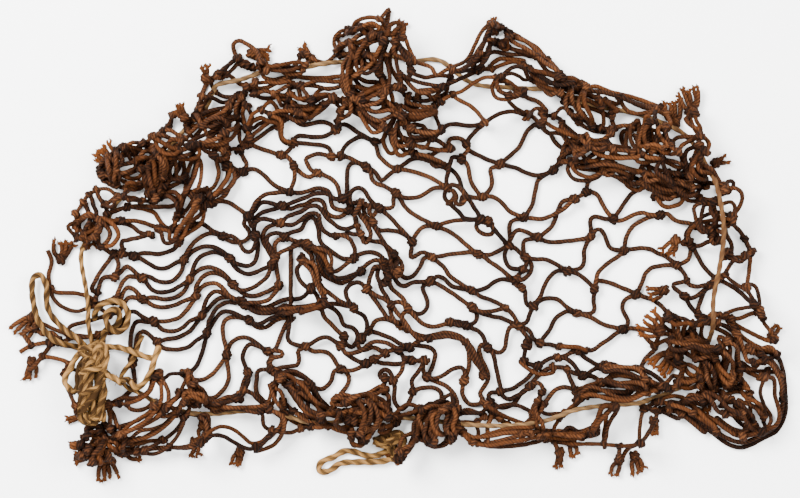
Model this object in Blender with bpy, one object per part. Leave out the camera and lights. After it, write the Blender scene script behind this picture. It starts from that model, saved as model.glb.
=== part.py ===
"""Helmet net of knotted brown twine, gathered on a hemp drawstring and lying flat on a table.

Tables and sizes are in millimetres and become metres when a mesh is made. On the plan X runs
to the right and Y up, and Z is the height above the table. Angles in tables are in degrees.
"""

import math
import random

import bmesh
import bpy
import numpy as np

METRE = 0.001
SEED = 41
PLAN_MIDDLE = (1.625, -1.8)

# Twine and the sheet bends that join it
TWINE_WIDE = 2.3
TWINE_HIGH = 2.1
FREE_LENGTH = 22.5
KNOT_HALF = 1.9
KNOT_HIGH = 3.0
LEAST_OPENING = math.radians(10)
MOST_OPENING = math.radians(60)
EMPTY_OPENING = math.radians(35)
SHORT_HANDLE = 2.5
MOST_BULGE = 10.0
BULGE_SHARE = 0.55
BAR_STEPS = 2
SHARP_TURN = math.radians(250)
LONG_BAR = 19.0
LEAST_PARTING = 3.2
LEAST_LEAVE = 2.5
LEFT_LIFT = 0.02
RIGHT_LIFT = 0.05

# Hemp string
STRING_WIDE = 2.8
STRING_STEP = 12.5
TIE_STEP = 6.0

# How strands settle where they cross
PARTING = 0.45
NEAR_KNOT = 5.5
SAME_RUN = 8.0
SPOT_STEP = 2.0
SAMPLE_SLACK = 0.35
SWEEPS = 900
SINKING = 450
ORDERING = 400
NET_FIRST = 700
WINDOW = 25.0
FLAT = 1e6
SINK = 0.04
STIFFNESS = 0.05
PUSH = 1.3
MOST_PUSH = 0.5
HIGHEST = 22.0
LEVEL = 0.1
FREE_STRANDS = 5000
ROW_START = 0.12

# The net's courses of knots, left to right, inside the drawstring
ROWS = 12
COURSES = (
    # low_x, mid_x, upper_x, high_x, low_y, quarter_y, mid_y, upper_y, high_y
    (-144, -147, -147, -121, -82, -58, -34, -8, 40),
    (-119, -129, -131, -108, -82, -56, -25, 8, 55),
    (-106, -104, -110, -94, -84, -56, -28, 13, 68),
    (-83, -84, -88, -78, -84, -56, -25, 22, 77),
    (-62, -57, -63, -60, -86, -56, -20, 28, 84),
    (-40, -38, -42, -40, -87, -54, -16, 33, 85),
    (-23, -17, -19, -20, -86, -48, -8, 39, 86),
    (1, 4, 3, 2, -86, -54, -17, 34, 87),
    (24, 21, 22, 24, -90, -54, -10, 39, 87),
    (47, 42, 42, 42, -90, -58, -12, 32, 80),
    (63, 64, 63, 61, -92, -56, -15, 30, 76),
    (79, 80, 81, 82, -92, -66, -26, 22, 74),
    (97, 101, 100, 98, -90, -68, -26, 22, 71),
    (118, 119, 117, 115, -87, -66, -24, 22, 68),
    (134, 136, 134, 131, -83, -60, -20, 22, 61),
    (151, 155, 154, 150, -71, -45, -14, 14, 45),
)
OUTER_RINGS = 3

# The outer edge of the rim beyond the drawstring, and how far out each ring of knots lies
RIM_MIDDLE = (0, -10)
RIM = (
    # edge_x, edge_y
    (-174, -6), (-166, 14), (-157, 32), (-136, 50), (-113, 66), (-97, 86), (-83, 100), (-62, 96),
    (-40, 100), (-22, 110), (-6, 113), (6, 108), (20, 93), (36, 93), (50, 111), (66, 107),
    (84, 92), (108, 81), (132, 73), (152, 62), (168, 42), (182, 12), (185, -28), (197, -56),
    (203, -78), (190, -104), (160, -99), (128, -101), (90, -103), (56, -102), (24, -106), (-14, -105),
    (-42, -99), (-80, -106), (-108, -103), (-150, -110), (-166, -96), (-180, -74), (-196, -52), (-186, -30),
)
RING_REACH = (0.3, 0.65, 1.0)
CORNER_GAP = 0.35

# Folds that draw the nearby knots together
FOLDS = (
    # from_x, from_y, to_x, to_y, reach, pull
    (-61, 14, -61, -25, 9, 0.7), (-53, -4, -53, -30, 7, 0.6), (-54, -33, -36, -29, 8, 0.7),
    (-36, -29, -25, -51, 8, 0.6), (-17, 24, -14, 1, 9, 0.7), (24, 69, 32, 48, 9, 0.6),
    (32, 48, 29, 23, 9, 0.7), (29, 23, 48, 11, 9, 0.7), (48, 11, 70, -9, 9, 0.7),
    (70, -9, 64, -25, 9, 0.7), (64, -25, 68, -54, 9, 0.7), (1, -8, -6, -19, 9, 0.7),
    (-6, -19, 6, -43, 9, 0.7), (6, -43, 29, -48, 9, 0.7), (29, -48, 45, -68, 9, 0.6),
    (-88, 40, -98, 22, 10, 0.6), (-98, 22, -111, 4, 10, 0.6), (-75, 75, -49, 68, 16, 0.6),
    (-18, 90, 0, 58, 18, 0.7), (105, 60, 145, 45, 14, 0.6), (-145, 38, -122, 20, 14, 0.5),
    (24, -92, 26, -96, 16, 0.7), (-18, -90, -6, -98, 14, 0.6), (140, -40, 150, -62, 14, 0.5),
    (-150, -100, -120, -104, 14, 0.5), (55, -101, 107, -99, 8, 0.6),
)

# Soft waves that run across the courses
WAVES = (
    # x, y, half_wide, half_high, rise, length, crest_x
    (-101, -36, 58, 50, 4.6, 47, -138),
    (70, -72, 60, 22, 2.0, 38, 60),
    (-10, 10, 60, 60, 1.2, 33, -20),
)
SCATTER = 2.3

# The drawstring from the tie, round the rim and back to its own free end
DRAWSTRING = (
    (-156, -53), (-158, -43), (-158, -35), (-159, -25), (-161, -15), (-162, -7), (-160, -1),
    (-157, 4), (-150, 10), (-145, 19), (-141, 24), (-135, 29), (-127, 32), (-119, 44), (-111, 56),
    (-98, 69), (-92, 81), (-83, 83), (-72, 87), (-62, 91), (-49, 90), (-38, 92), (-25, 94),
    (-5, 97), (10, 94), (19, 95), (27, 93), (31, 89), (42, 82), (58, 80), (82, 79), (90, 75),
    (109, 70), (128, 66), (145, 59), (152, 54), (158, 46), (165, 30), (169, 6), (167, -14),
    (164, -30), (164, -46), (162, -56), (156, -71), (145, -77), (128, -83), (107, -85),
    (93, -87), (76, -93), (55, -95), (24, -93), (3, -91), (-20, -92), (-38, -94), (-49, -92),
    (-67, -87), (-93, -89), (-107, -88), (-122, -83), (-130, -78.5), (-137, -75.5), (-141, -72),
    (-140, -67), (-136, -62.5), (-133.5, -57), (-132, -52), (-130.5, -48.5),
)
# The bights and ends of the tie, each from the knot outwards
TIE_CORDS = {
    "tie_left_bight": (
        (-161.5, -52.5), (-164, -50), (-169, -46.5), (-174, -42), (-178, -37), (-180, -31),
        (-180, -24), (-182.5, -17.5), (-186.5, -18), (-187.5, -24), (-186.5, -32), (-184.5, -39),
        (-180.5, -46), (-175, -51), (-168.5, -53.5), (-164.5, -54.5),
    ),
    "tie_left_end": (
        (-163, -58), (-165, -61), (-166.5, -65), (-169, -69), (-169.5, -72.5), (-167, -75.5),
    ),
    "tie_eye": (
        (-151.5, -53), (-150.5, -48.5), (-148.5, -44.5), (-144.5, -44), (-141.5, -40),
        (-142, -35.5), (-145.5, -34.5), (-148, -38), (-147, -43), (-143, -46.5), (-138.5, -44),
        (-137, -38.5), (-138.5, -33.5), (-143, -30.5), (-149, -31.5), (-153.5, -35), (-155, -39.5),
    ),
    "tie_right_bight": (
        (-148, -54.5), (-143, -54.5), (-137, -56), (-130, -58.5), (-125, -60), (-121.8, -57),
        (-121.5, -53.5), (-122.5, -58), (-124.5, -65), (-127.5, -71), (-132, -75), (-136, -72.5),
    ),
    "lower_bight": (
        (-2, -107.5), (-8, -110.5), (-14, -111), (-20, -109), (-26, -108.5), (-31, -111.5),
        (-36.5, -113.5), (-39.5, -117), (-37.5, -119.5), (-33, -118.5), (-28, -115), (-20, -114.2),
        (-11, -114.2), (-5, -113.6), (-1.5, -112.5),
    ),
}
CORD_START = {"drawstring": 4, "tie_left_bight": 10, "tie_left_end": 12, "tie_eye": 11,
              "tie_right_bight": 10, "lower_bight": 10}
CORD_SLOPE = 2.0

# Wrapped hemp knots along a middle line
HEMP_KNOTS = (
    # name, from_x, from_y, to_x, to_y, half_wide, high, turns, sides
    ("tie_knot", -154.5, -57.5, -154.0, -92.0, 6.0, 9.5, 7, 12),
    ("lower_knot", -11.5, -100.5, 4.5, -105.0, 4.0, 6.5, 4, 10),
)
KNOT_START = 12
TURN_DEPTH = 0.1
LUMP = 1.06

# Cut ends left in tufts, with their splayed ends
TUFTS = (
    # x, y, towards, length, ends, splay
    (-173, -9, 80, 11, 4, 70), (-188, -39, 230, 14, 4, 60), (-188, -62, 265, 10, 3, 50),
    (-162, -90, 200, 8, 2, 40), (-157, -107, 190, 12, 4, 70), (-150, -113, 280, 12, 4, 70),
    (-140, -109, -8, 9, 3, 30), (-103.5, -104, 265, 7, 2, 60), (-80, -109, 255, 7, 3, 60),
    (-99, -95, 262, 6, 2, 40), (5, -108, 215, 9, 3, 40), (86, -109, 265, 8, 2, 40),
    (92, -104, 285, 7, 2, 40), (117, -113, 250, 9, 2, 30), (125, -111, 285, 10, 3, 50),
    (135, -93, 270, 6, 2, 50), (140, -25, 195, 9, 3, 60), (146, 1, 235, 9, 3, 60),
    (151, 27, 185, 14, 4, 40), (137, -46, 150, 12, 5, 90), (143, -58, 235, 12, 5, 80),
    (160, -79, 300, 9, 3, 50), (196, -49, 60, 6, 2, 40), (155, 69, 105, 13, 5, 60),
    (146, 62, 97, 13, 4, 40), (167, 41, 20, 6, 2, 60), (-5, 109, 78, 12, 1, 10),
    (1, 108, 60, 7, 2, 50), (-43, 95, 125, 8, 2, 30), (-74, 98, -10, 10, 4, 40),
    (-97, 84, 100, 6, 2, 60), (-108, 64, 120, 7, 3, 50), (-157, 8, 270, 13, 4, 40),
    (-146, 42, 140, 10, 5, 80), (52, 110, 90, 5, 1, 10),
)
TUFT_HEAD = 2.5
END_WIDE = 1.7
END_HIGH = 1.7
TUFT_START = 10
FAR_OUT = 150
FAR_UP = 90

TWINE_COLOUR = (0.115, 0.034, 0.014)
CUT_END_COLOUR = (0.29, 0.085, 0.025)
HEMP_COLOUR = (0.52, 0.33, 0.15)


def plan_angle(point):
    """Direction of a plan point from the middle of the rim."""
    return math.atan2(point[1] - RIM_MIDDLE[1], point[0] - RIM_MIDDLE[0])


def round_the_rim(angle, points, values):
    """Value at an angle, read between the angles of points that go round the rim."""
    angles = np.array([plan_angle(point) for point in points])
    order = np.argsort(angles)
    return np.interp(angle, angles[order], np.array(values)[order], period=2 * math.pi)


def distance_from_middle(point):
    """Plan distance from the middle of the rim."""
    return math.hypot(point[0] - RIM_MIDDLE[0], point[1] - RIM_MIDDLE[1])


def course_point(course, row):
    """Place of a knot inside the drawstring, read from the table's row for its course."""
    below = min(int(course), len(COURSES) - 2)
    past = course - below
    values = np.array(COURSES[below]) * (1 - past) + np.array(COURSES[below + 1]) * past
    share = row / ROWS
    x = np.interp(share, (0, 0.5, 0.75, 1), values[:4])
    y = np.interp(share, (0, 0.25, 0.5, 0.75, 1), values[4:])
    return np.array((x, y))


def rim_point(course, row, ring):
    """Place of a knot in one of the rings beyond the drawstring."""
    last = len(COURSES) - 1
    if 0 <= course <= last:
        inner = course_point(CORNER_GAP + course * (1 - 2 * CORNER_GAP / last), min(max(row, 0), ROWS))
    else:
        inner = course_point(min(max(course, 0), last), CORNER_GAP + row * (1 - 2 * CORNER_GAP / ROWS))
    angle = plan_angle(inner)
    string_at = round_the_rim(angle, DRAWSTRING[:-9], [distance_from_middle(p) for p in DRAWSTRING[:-9]])
    edge_at = round_the_rim(angle, RIM, [distance_from_middle(p) for p in RIM])
    reach = string_at + (edge_at - string_at) * RING_REACH[ring - 1]
    return np.array(RIM_MIDDLE) + reach * np.array((math.cos(angle), math.sin(angle)))


def draw_to_folds(point):
    """Move a plan point towards each fold that it lies near."""
    for from_x, from_y, to_x, to_y, reach, pull in FOLDS:
        start = np.array((from_x, from_y), float)
        along = np.array((to_x, to_y)) - start
        share = np.clip(np.dot(point - start, along) / np.dot(along, along), 0, 1)
        offset = start + share * along - point
        point = point + offset * pull * math.exp(-np.dot(offset, offset) / reach ** 2)
    return point


def wave_weight(points, wave):
    """How strongly a wave acts on each plan point, from 1 in its middle to 0 past its edge."""
    x, y, half_wide, half_high = wave[:4]
    far = ((points[:, 0] - x) / half_wide) ** 2 + ((points[:, 1] - y) / half_high) ** 2
    return np.clip(1.25 * (1 - far), 0, 1)


def wave_points(points):
    """Plan points after the waves that run across the courses."""
    points = np.atleast_2d(points).astype(float)
    lift = np.zeros(len(points))
    for wave in WAVES:
        rise, length, crest_x = wave[4:]
        swing = np.cos((points[:, 0] - crest_x) * 2 * math.pi / length)
        lift += rise * swing * wave_weight(points, wave)
    points[:, 1] += lift
    return points


def lay_knots(chance):
    """Plan places and layers of all knots, by course and row."""
    places = {}
    layers = {}
    last = len(COURSES) - 1
    for course in range(-OUTER_RINGS, last + OUTER_RINGS + 1):
        half = 0.5 if course % 2 else 0.0
        row = half - OUTER_RINGS / 2
        while row <= ROWS - half + OUTER_RINGS / 2:
            ring = int(max(-course, course - last, -2 * row, 2 * (row - ROWS), 0))
            outside_course = course < 0 or course > last
            if ring > OUTER_RINGS or (outside_course and not 0 <= row <= ROWS):
                row += 1
                continue
            point = rim_point(course, row, ring) if ring else course_point(course, row)
            point = draw_to_folds(point)
            still = 1 - 0.6 * wave_weight(np.array([point]), WAVES[0])[0]
            point = point + still * SCATTER * np.array((chance.uniform(-1, 1), chance.uniform(-1, 1)))
            places[course, row] = point
            layers[course, row] = ROW_START * (row + 2)
            row += 1
    return places, layers


def turned(direction, angle):
    """A plan direction turned anticlockwise."""
    cosine, sine = math.cos(angle), math.sin(angle)
    return np.array((direction[0] * cosine - direction[1] * sine,
                     direction[0] * sine + direction[1] * cosine))


def knot_axis(places, key):
    """Direction in which a knot's twine runs, from its left neighbours to its right ones."""
    axis = np.zeros(2)
    for side in (-1, 1):
        for step in (-0.5, 0.5):
            other = places.get((key[0] + side, key[1] + step))
            if other is not None:
                away = other - places[key]
                axis += side * away / max(np.linalg.norm(away), 1e-6)
    length = np.linalg.norm(axis)
    return axis / length if length > 0.3 else np.array((1.0, 0.0))


def knot_ports(places, key):
    """The four places where bars can leave a knot: outer and shared corner, and direction."""
    place = places[key]
    axis = knot_axis(places, key)
    ports = {}
    for side in (1, -1):
        facing = axis * side
        for upper in (True, False):
            turn = 1 if upper == (side > 0) else -1
            neighbour = places.get((key[0] + side, key[1] + (0.5 if upper else -0.5)))
            opening = turn * EMPTY_OPENING
            if neighbour is not None:
                away = neighbour - place
                opening = math.atan2(facing[0] * away[1] - facing[1] * away[0], np.dot(facing, away))
            opening = turn * np.clip(turn * opening, LEAST_OPENING, MOST_OPENING)
            direction = turned(facing, opening)
            shared = place + KNOT_HALF * facing
            outer = shared + TWINE_WIDE * turn * turned(direction, math.pi / 2)
            ports[side, upper] = (outer, shared, direction)
    return ports


def bend_points(start, leave, end, arrive, bulge, count):
    """Points along a soft bar between two ports, bulging sideways by a given amount."""
    chord = end - start
    span = max(np.linalg.norm(chord), 1e-6)
    handle = max(span / 3, SHORT_HANDLE)
    sideways = turned(chord / span, math.pi / 2) * bulge
    first = start + leave * handle + sideways
    second = end + arrive * handle + sideways
    share = np.linspace(0, 1, count + 1)[:, None]
    rest = 1 - share
    return (rest ** 3 * start + 3 * rest ** 2 * share * first
            + 3 * rest * share ** 2 * second + share ** 3 * end)


def path_length(points):
    """Length of a line through points."""
    return float(np.linalg.norm(np.diff(points, axis=0), axis=1).sum())


def turning(line, leave, arrive):
    """Sum of the angles by which a line turns, from the way it leaves to the way it arrives."""
    ways = np.vstack([leave, np.diff(line, axis=0), -arrive])
    angles = np.unwrap(np.arctan2(ways[:, 1], ways[:, 0]))
    return float(np.abs(np.diff(angles)).sum())


def lay_bar(start, leave, end, arrive, side):
    """A bar of the twine's real free length, as slack as its knots' distance makes it."""
    middle = np.array([(start + end) / 2])
    taut = wave_weight(middle, WAVES[0])[0]
    span = np.linalg.norm(end - start)
    wanted = FREE_LENGTH + (1.04 * span - FREE_LENGTH) * taut
    low, high = 0.0, min(MOST_BULGE, BULGE_SHARE * span)
    for _ in range(12):
        bulge = (low + high) / 2
        if path_length(bend_points(start, leave, end, arrive, side * bulge, 8)) < wanted:
            low = bulge
        else:
            high = bulge
    turns = turning(bend_points(start, leave, end, arrive, side * low, 8), leave, arrive)
    steps = BAR_STEPS + int(turns > SHARP_TURN)
    return wave_points(bend_points(start, leave, end, arrive, side * low, steps))


def lay_bars(places, ports, chance):
    """All bars of the net: the knots they join, the ports they use and their plan points."""
    bars = []
    for key in sorted(places):
        for upper in (False, True):
            far = (key[0] + 1, key[1] + (0.5 if upper else -0.5))
            if far not in places:
                continue
            outer, shared, leave = ports[key][1, upper]
            far_outer, far_shared, arrive = ports[far][-1, not upper]
            start = (outer + shared) / 2
            end = (far_outer + far_shared) / 2
            side = 1 if key[0] % 2 else -1
            if np.linalg.norm(end - start) > LONG_BAR and chance.random() < 0.4:
                side = -side
            line = lay_bar(start, leave, end, arrive, side)
            bars.append({"knots": (key, far), "slots": ((1, upper), (-1, not upper)), "line": line})
    return bars


def part_bars(bars, ports):
    """Make bars leave their knots outwards, and keep the two on one side of a knot apart."""
    ends = {}
    for bar in bars:
        if len(bar["line"]) > 2:
            ends[bar["knots"][0], bar["slots"][0]] = (bar["line"], 0, 1)
            ends[bar["knots"][1], bar["slots"][1]] = (bar["line"], -1, -2)
    for (key, slot), (line, start, bend) in ends.items():
        leave = ports[key][slot][2]
        along = np.dot(line[bend] - line[start], leave)
        line[bend] += leave * max(0, LEAST_LEAVE - along)
    for key, slots in ports.items():
        for side in (1, -1):
            upper, lower = ends.get((key, (side, True))), ends.get((key, (side, False)))
            if upper is None or lower is None:
                continue
            outwards = slots[side, True][0] - slots[side, False][0]
            outwards /= np.linalg.norm(outwards)
            (high_line, _, high_bend), (low_line, _, low_bend) = upper, lower
            gap = np.dot(high_line[high_bend] - low_line[low_bend], outwards)
            push = outwards * max(0, LEAST_PARTING - gap) / 2
            high_line[high_bend] += push
            low_line[low_bend] -= push


def smooth_route(points, step):
    """Evenly spaced points along a smooth curve through hand-placed ones."""
    route = np.array(points, float)
    route = np.vstack([2 * route[0] - route[1], route, 2 * route[-1] - route[-2]])
    dense = []
    for before, here, there, after in zip(route, route[1:], route[2:], route[3:]):
        for share in np.arange(0, 1, 0.1):
            dense.append(0.5 * (2 * here + (there - before) * share
                                + (2 * before - 5 * here + 4 * there - after) * share ** 2
                                + (3 * here - before - 3 * there + after) * share ** 3))
    dense.append(route[-2])
    dense = np.array(dense)
    run = np.concatenate([[0], np.cumsum(np.linalg.norm(np.diff(dense, axis=0), axis=1))])
    even = np.linspace(0, run[-1], max(2, round(run[-1] / step)) + 1)
    return np.column_stack([np.interp(even, run, dense[:, axis]) for axis in range(2)])


class Pile:
    """Heights of everything on the table: each strand sinks until it rests on what it crosses."""

    def __init__(self):
        self.height = []
        self.neighbours = []
        self.samples = []

    def node(self, start):
        """A new point whose height is to be found, and the height that it sinks from."""
        self.height.append(start)
        return len(self.height) - 1

    def sample(self, place, first, second, share, half, high, strand, run, knot=-1, length=FLAT):
        """A spot on a strand, between two points, that others have to clear."""
        self.samples.append((place[0], place[1], first, second, share, half, high, strand, run, knot,
                             length))

    def strand(self, line, nodes, half, high, strand, knots=(-1, -1)):
        """A line of points with spots along it, near enough to find every crossing."""
        run = np.concatenate([[0], np.cumsum(np.linalg.norm(np.diff(line, axis=0), axis=1))])
        self.neighbours += list(zip(nodes, nodes[1:], nodes[2:]))
        for piece in range(len(line) - 1):
            length = run[piece + 1] - run[piece]
            count = max(2, math.ceil(length / SPOT_STEP))
            shares = (np.arange(count) + 0.5) / count
            for share in np.append(0, shares) if piece else shares:
                at = run[piece] + share * length
                near = knots[0] if at < NEAR_KNOT else knots[1] if run[-1] - at < NEAR_KNOT else -1
                place = line[piece] * (1 - share) + line[piece + 1] * share
                round_length = length if strand >= FREE_STRANDS else FLAT
                top = high if near < 0 else KNOT_HIGH
                self.sample(place, nodes[piece], nodes[piece + 1], share, half, top, strand, at, near,
                            round_length)

    def crossings(self):
        """Pairs of spots that lie over each other, and the stretches that keep one order there."""
        table = np.array(self.samples)
        strand, run, knot = table[:, 7], table[:, 8], table[:, 9]
        windows = np.where(strand >= FREE_STRANDS, run // WINDOW, 0)
        stretch = np.where(knot >= 0, -1 - knot, strand + windows)
        ones = []
        others = []
        for index, spot in enumerate(table):
            rest = table[index + 1:]
            far = np.hypot(rest[:, 0] - spot[0], rest[:, 1] - spot[1])
            close = far < rest[:, 5] + spot[5] + SAMPLE_SLACK
            same_knot = (rest[:, 9] == spot[9]) & (spot[9] >= 0)
            same_run = (rest[:, 7] == spot[7]) & (np.abs(rest[:, 8] - spot[8]) < SAME_RUN)
            found = np.nonzero(close & ~same_knot & ~same_run)[0] + index + 1
            ones += [index] * len(found)
            others += list(found)
        ones, others = np.array(ones), np.array(others)
        turn = stretch[ones] > stretch[others]
        ones, others = np.where(turn, others, ones), np.where(turn, ones, others)
        pairs = np.column_stack([stretch[ones], stretch[others]])
        meeting = np.unique(pairs, axis=0, return_inverse=True)[1].ravel()
        return table, ones, others, self.joined(table, ones, others, meeting)

    def joined(self, table, ones, others, meeting):
        """Number the meetings afresh, so that those with neighbouring spots are one."""
        leader = list(range(meeting.max() + 1))

        def lead(number):
            while leader[number] != number:
                leader[number] = leader[leader[number]]
                number = leader[number]
            return number

        follows = [index + 1 < len(table) and table[index + 1, 7] == table[index, 7]
                   for index in range(len(table))]
        found = {(one, other): number for one, other, number in zip(ones, others, meeting)}
        for (one, other), number in list(found.items()):
            for ahead in ((one + 1, other), (one, other + 1), (one + 1, other + 1), (one + 1, other - 1)):
                linked = found.get(ahead)
                along = (ahead[0] == one or follows[one]) and (
                    ahead[1] == other or (follows[other] if ahead[1] > other else follows[ahead[1]]))
                if linked is not None and along:
                    leader[lead(linked)] = lead(number)
        return np.array([lead(number) for number in meeting])

    def settle(self):
        """Let the strands sink onto each other and the table until all of them clear."""
        table, ones, others, meeting = self.crossings()
        height = np.array(self.height, float)
        first, second = table[:, 2].astype(int), table[:, 3].astype(int)
        share, high = table[:, 4], table[:, 6]
        before, here, after = np.array(self.neighbours).T
        apart = (table[ones, 7] >= FREE_STRANDS) | (table[others, 7] >= FREE_STRANDS)
        for sweep in range(SWEEPS):
            if sweep < SINKING:
                height -= SINK
                height[here] += STIFFNESS * ((height[before] + height[after]) / 2 - height[here])
            height = np.clip(height, 0, HIGHEST)
            level = height[first] * (1 - share) + height[second] * share
            if sweep < ORDERING:
                above = np.bincount(meeting, level[ones] - level[others])[meeting] >= 0
            upper, lower = np.where(above, ones, others), np.where(above, others, ones)
            slope = (height[second] - height[first]) / table[:, 10]
            swell = STRING_WIDE / 2 * (np.sqrt(1 + slope ** 2) - 1)
            lack = high[lower] + swell[lower] + swell[upper] + PARTING - (level[upper] - level[lower])
            short = (lack > 0) & (apart | (sweep < NET_FIRST))
            upper, lower, lack = upper[short], lower[short], lack[short]
            down = np.minimum(lack / 2, level[lower])
            moved = np.zeros(len(height))
            weight = np.zeros(len(height))
            for spots, push in ((upper, lack - down), (lower, -down)):
                for points, part in ((first[spots], 1 - share[spots]), (second[spots], share[spots])):
                    np.add.at(moved, points, push * part)
                    np.add.at(weight, points, part)
            height += np.clip(PUSH * moved / np.maximum(weight, 0.5), -MOST_PUSH, MOST_PUSH)
        return np.where(height < LEVEL, 0, height)


class Shell:
    """Points and faces of one closed solid, gathered in millimetres."""

    def __init__(self):
        self.points = []
        self.faces = []

    def point(self, plan, height):
        """Add a point and return its number."""
        self.points.append(((plan[0] - PLAN_MIDDLE[0]) * METRE, (plan[1] - PLAN_MIDDLE[1]) * METRE,
                            height * METRE))
        return len(self.points) - 1

    def tube(self, rings, cap_start=False, cap_end=False):
        """Walls between rings of points, with a cap at either end."""
        for ring, after in zip(rings, rings[1:]):
            for here in range(len(ring)):
                there = (here + 1) % len(ring)
                self.faces.append((ring[here], ring[there], after[there], after[here]))
        if cap_start:
            self.faces.append(tuple(reversed(rings[0])))
        if cap_end:
            self.faces.append(tuple(rings[-1]))

    def finish(self, name, material, smooth=False):
        """Make the object, with its faces turned outwards."""
        mesh = bpy.data.meshes.new(name)
        mesh.from_pydata(self.points, [], self.faces)
        turn_outwards(mesh)
        if smooth:
            mesh.shade_smooth()
            mesh.set_sharp_from_angle(angle=math.radians(50))
        piece = bpy.data.objects.new(name, mesh)
        bpy.context.collection.objects.link(piece)
        piece.data.materials.append(material)
        return piece


def turn_outwards(mesh):
    """Point a closed mesh's faces outwards and cut them into triangles."""
    shape = bmesh.new()
    shape.from_mesh(mesh)
    bmesh.ops.recalc_face_normals(shape, faces=shape.faces)
    bmesh.ops.triangulate(shape, faces=shape.faces)
    shape.to_mesh(mesh)
    shape.free()


def plain_material(name, colour, roughness):
    """A plain finish for a solid."""
    material = bpy.data.materials.new(name)
    material.use_nodes = True
    shader = material.node_tree.nodes["Principled BSDF"]
    shader.inputs["Base Color"].default_value = (*colour, 1)
    shader.inputs["Roughness"].default_value = roughness
    shader.inputs["Metallic"].default_value = 0
    return material


def across(line, index):
    """Plan direction square to a line at one of its points, to the left."""
    ahead = line[min(index + 1, len(line) - 1)] - line[max(index - 1, 0)]
    return turned(ahead / max(np.linalg.norm(ahead), 1e-6), math.pi / 2)


def build_net(ports, bars, knot_nodes, bar_nodes, height, material):
    """The whole net as one solid: a hub for each knot and a three-sided bar between knots."""
    shell = Shell()
    used = {tuple(end) for bar in bars for end in zip(bar["knots"], bar["slots"])}
    hubs = {}
    for key, slots in ports.items():
        joined = {slot for slot in slots if (key, slot) in used}
        hubs[key] = build_hub(shell, slots, height[knot_nodes[key]], joined)
    for bar, nodes in zip(bars, bar_nodes):
        rings = []
        for key, slot, index in zip(bar["knots"], bar["slots"], (0, -1)):
            outer, shared, top = hubs[key][slot]
            outer_left = slot[1]
            rings.append((outer, shared, top) if outer_left else (shared, outer, top))
        between = []
        for index in range(1, len(bar["line"]) - 1):
            place = bar["line"][index]
            left = across(bar["line"], index) * TWINE_WIDE / 2
            level = height[nodes[index]]
            between.append((shell.point(place + left, level + LEFT_LIFT),
                            shell.point(place - left, level + RIGHT_LIFT),
                            shell.point(place, level + TWINE_HIGH)))
        shell.tube([rings[0], *between, rings[1]])
    return shell.finish("net", material)


def build_hub(shell, ports, level, used):
    """One knot: a six-sided base, a side for each of its four ports, and a top."""
    inner = {}
    corners = {}
    for side in (1, -1):
        inner[side] = shell.point(wave_points(ports[side, True][1])[0], level)
        for upper in (True, False):
            outer, shared, _ = ports[side, upper]
            outer = wave_points(outer)[0]
            middle = (outer + wave_points(shared)[0]) / 2
            corners[side, upper] = (shell.point(outer, level), inner[side],
                                    shell.point(middle, level + KNOT_HIGH))
    right_up, right_low = corners[1, True], corners[1, False]
    left_up, left_low = corners[-1, True], corners[-1, False]
    shell.faces.append((right_up[0], inner[1], right_low[0], left_low[0], inner[-1], left_up[0]))
    shell.faces.append((right_up[2], inner[1], right_low[2]))
    shell.faces.append((left_low[2], inner[-1], left_up[2]))
    shell.faces.append((right_low[2], right_low[0], left_low[0], left_low[2]))
    shell.faces.append((left_up[2], left_up[0], right_up[0], right_up[2]))
    shell.faces.append((right_up[2], right_low[2], left_low[2], left_up[2]))
    for slot in corners:
        if slot not in used:
            shell.faces.append(corners[slot])
    return corners


def build_hemp_knot(row, level, material):
    """A wrapped knot of hemp: a lump with a flat underside and a ridge for each turn."""
    name, from_x, from_y, to_x, to_y, half_wide, high, turns, sides = row
    start = np.array((from_x, from_y))
    along = np.array((to_x, to_y)) - start
    left = turned(along / np.linalg.norm(along), math.pi / 2)
    shell = Shell()
    rings = []
    steps = turns * 4
    for step in range(steps + 1):
        share = step / steps
        fullness = (1 - abs(2 * share - 1) ** 5) ** 0.5 * 0.45 + 0.55
        fullness *= 1 - TURN_DEPTH * (0.5 + 0.5 * math.cos(2 * math.pi * turns * share))
        ring = []
        for side in range(sides):
            angle = 2 * math.pi * (side + 0.5) / sides
            rise = max(0.0, 0.5 + 0.56 * math.sin(angle) * fullness) * high
            swing = half_wide * fullness * math.cos(angle)
            if side in (3 * sides // 4 - 1, 3 * sides // 4):
                rise = 0.0
            ring.append(shell.point(start + share * along + left * swing, level + rise))
        rings.append(ring)
    shell.tube(rings, True, True)
    return shell.finish(name, material, smooth=True)


def tuft_plan(row):
    """Plan shape of a tuft: its head's corners and the bent line of each cut end."""
    x, y, towards, length, ends, splay = row
    head = np.array((x, y), float)
    towards = math.radians(towards)
    spread = max(math.radians(splay), ends * (END_WIDE + 0.4) / length)
    root_step = 2 * math.asin(END_WIDE / (2 * TUFT_HEAD))
    corners = []
    for index in range(ends + 1):
        corners.append(head + TUFT_HEAD * turned(np.array((1.0, 0.0)),
                                                 towards + (index - ends / 2) * root_step))
    back = 2 * math.pi - ends * root_step
    for index in range(1, 4):
        angle = towards + ends / 2 * root_step + back * index / 4
        corners.append(head + TUFT_HEAD * turned(np.array((1.0, 0.0)), angle))
    lines = []
    for index in range(ends):
        root = (corners[index] + corners[index + 1]) / 2
        lean = (index + 0.5) / ends - 0.5
        tip = head + length * (1 - 0.25 * ((index * 7) % 3) / 2) * turned(np.array((1.0, 0.0)),
                                                                       towards + lean * spread)
        outwards = (root - head) / np.linalg.norm(root - head)
        bend = root + outwards * length * 0.3
        share = np.linspace(0, 1, 3)[:, None]
        lines.append((1 - share) ** 2 * root + 2 * (1 - share) * share * bend + share ** 2 * tip)
    return corners, lines


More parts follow.
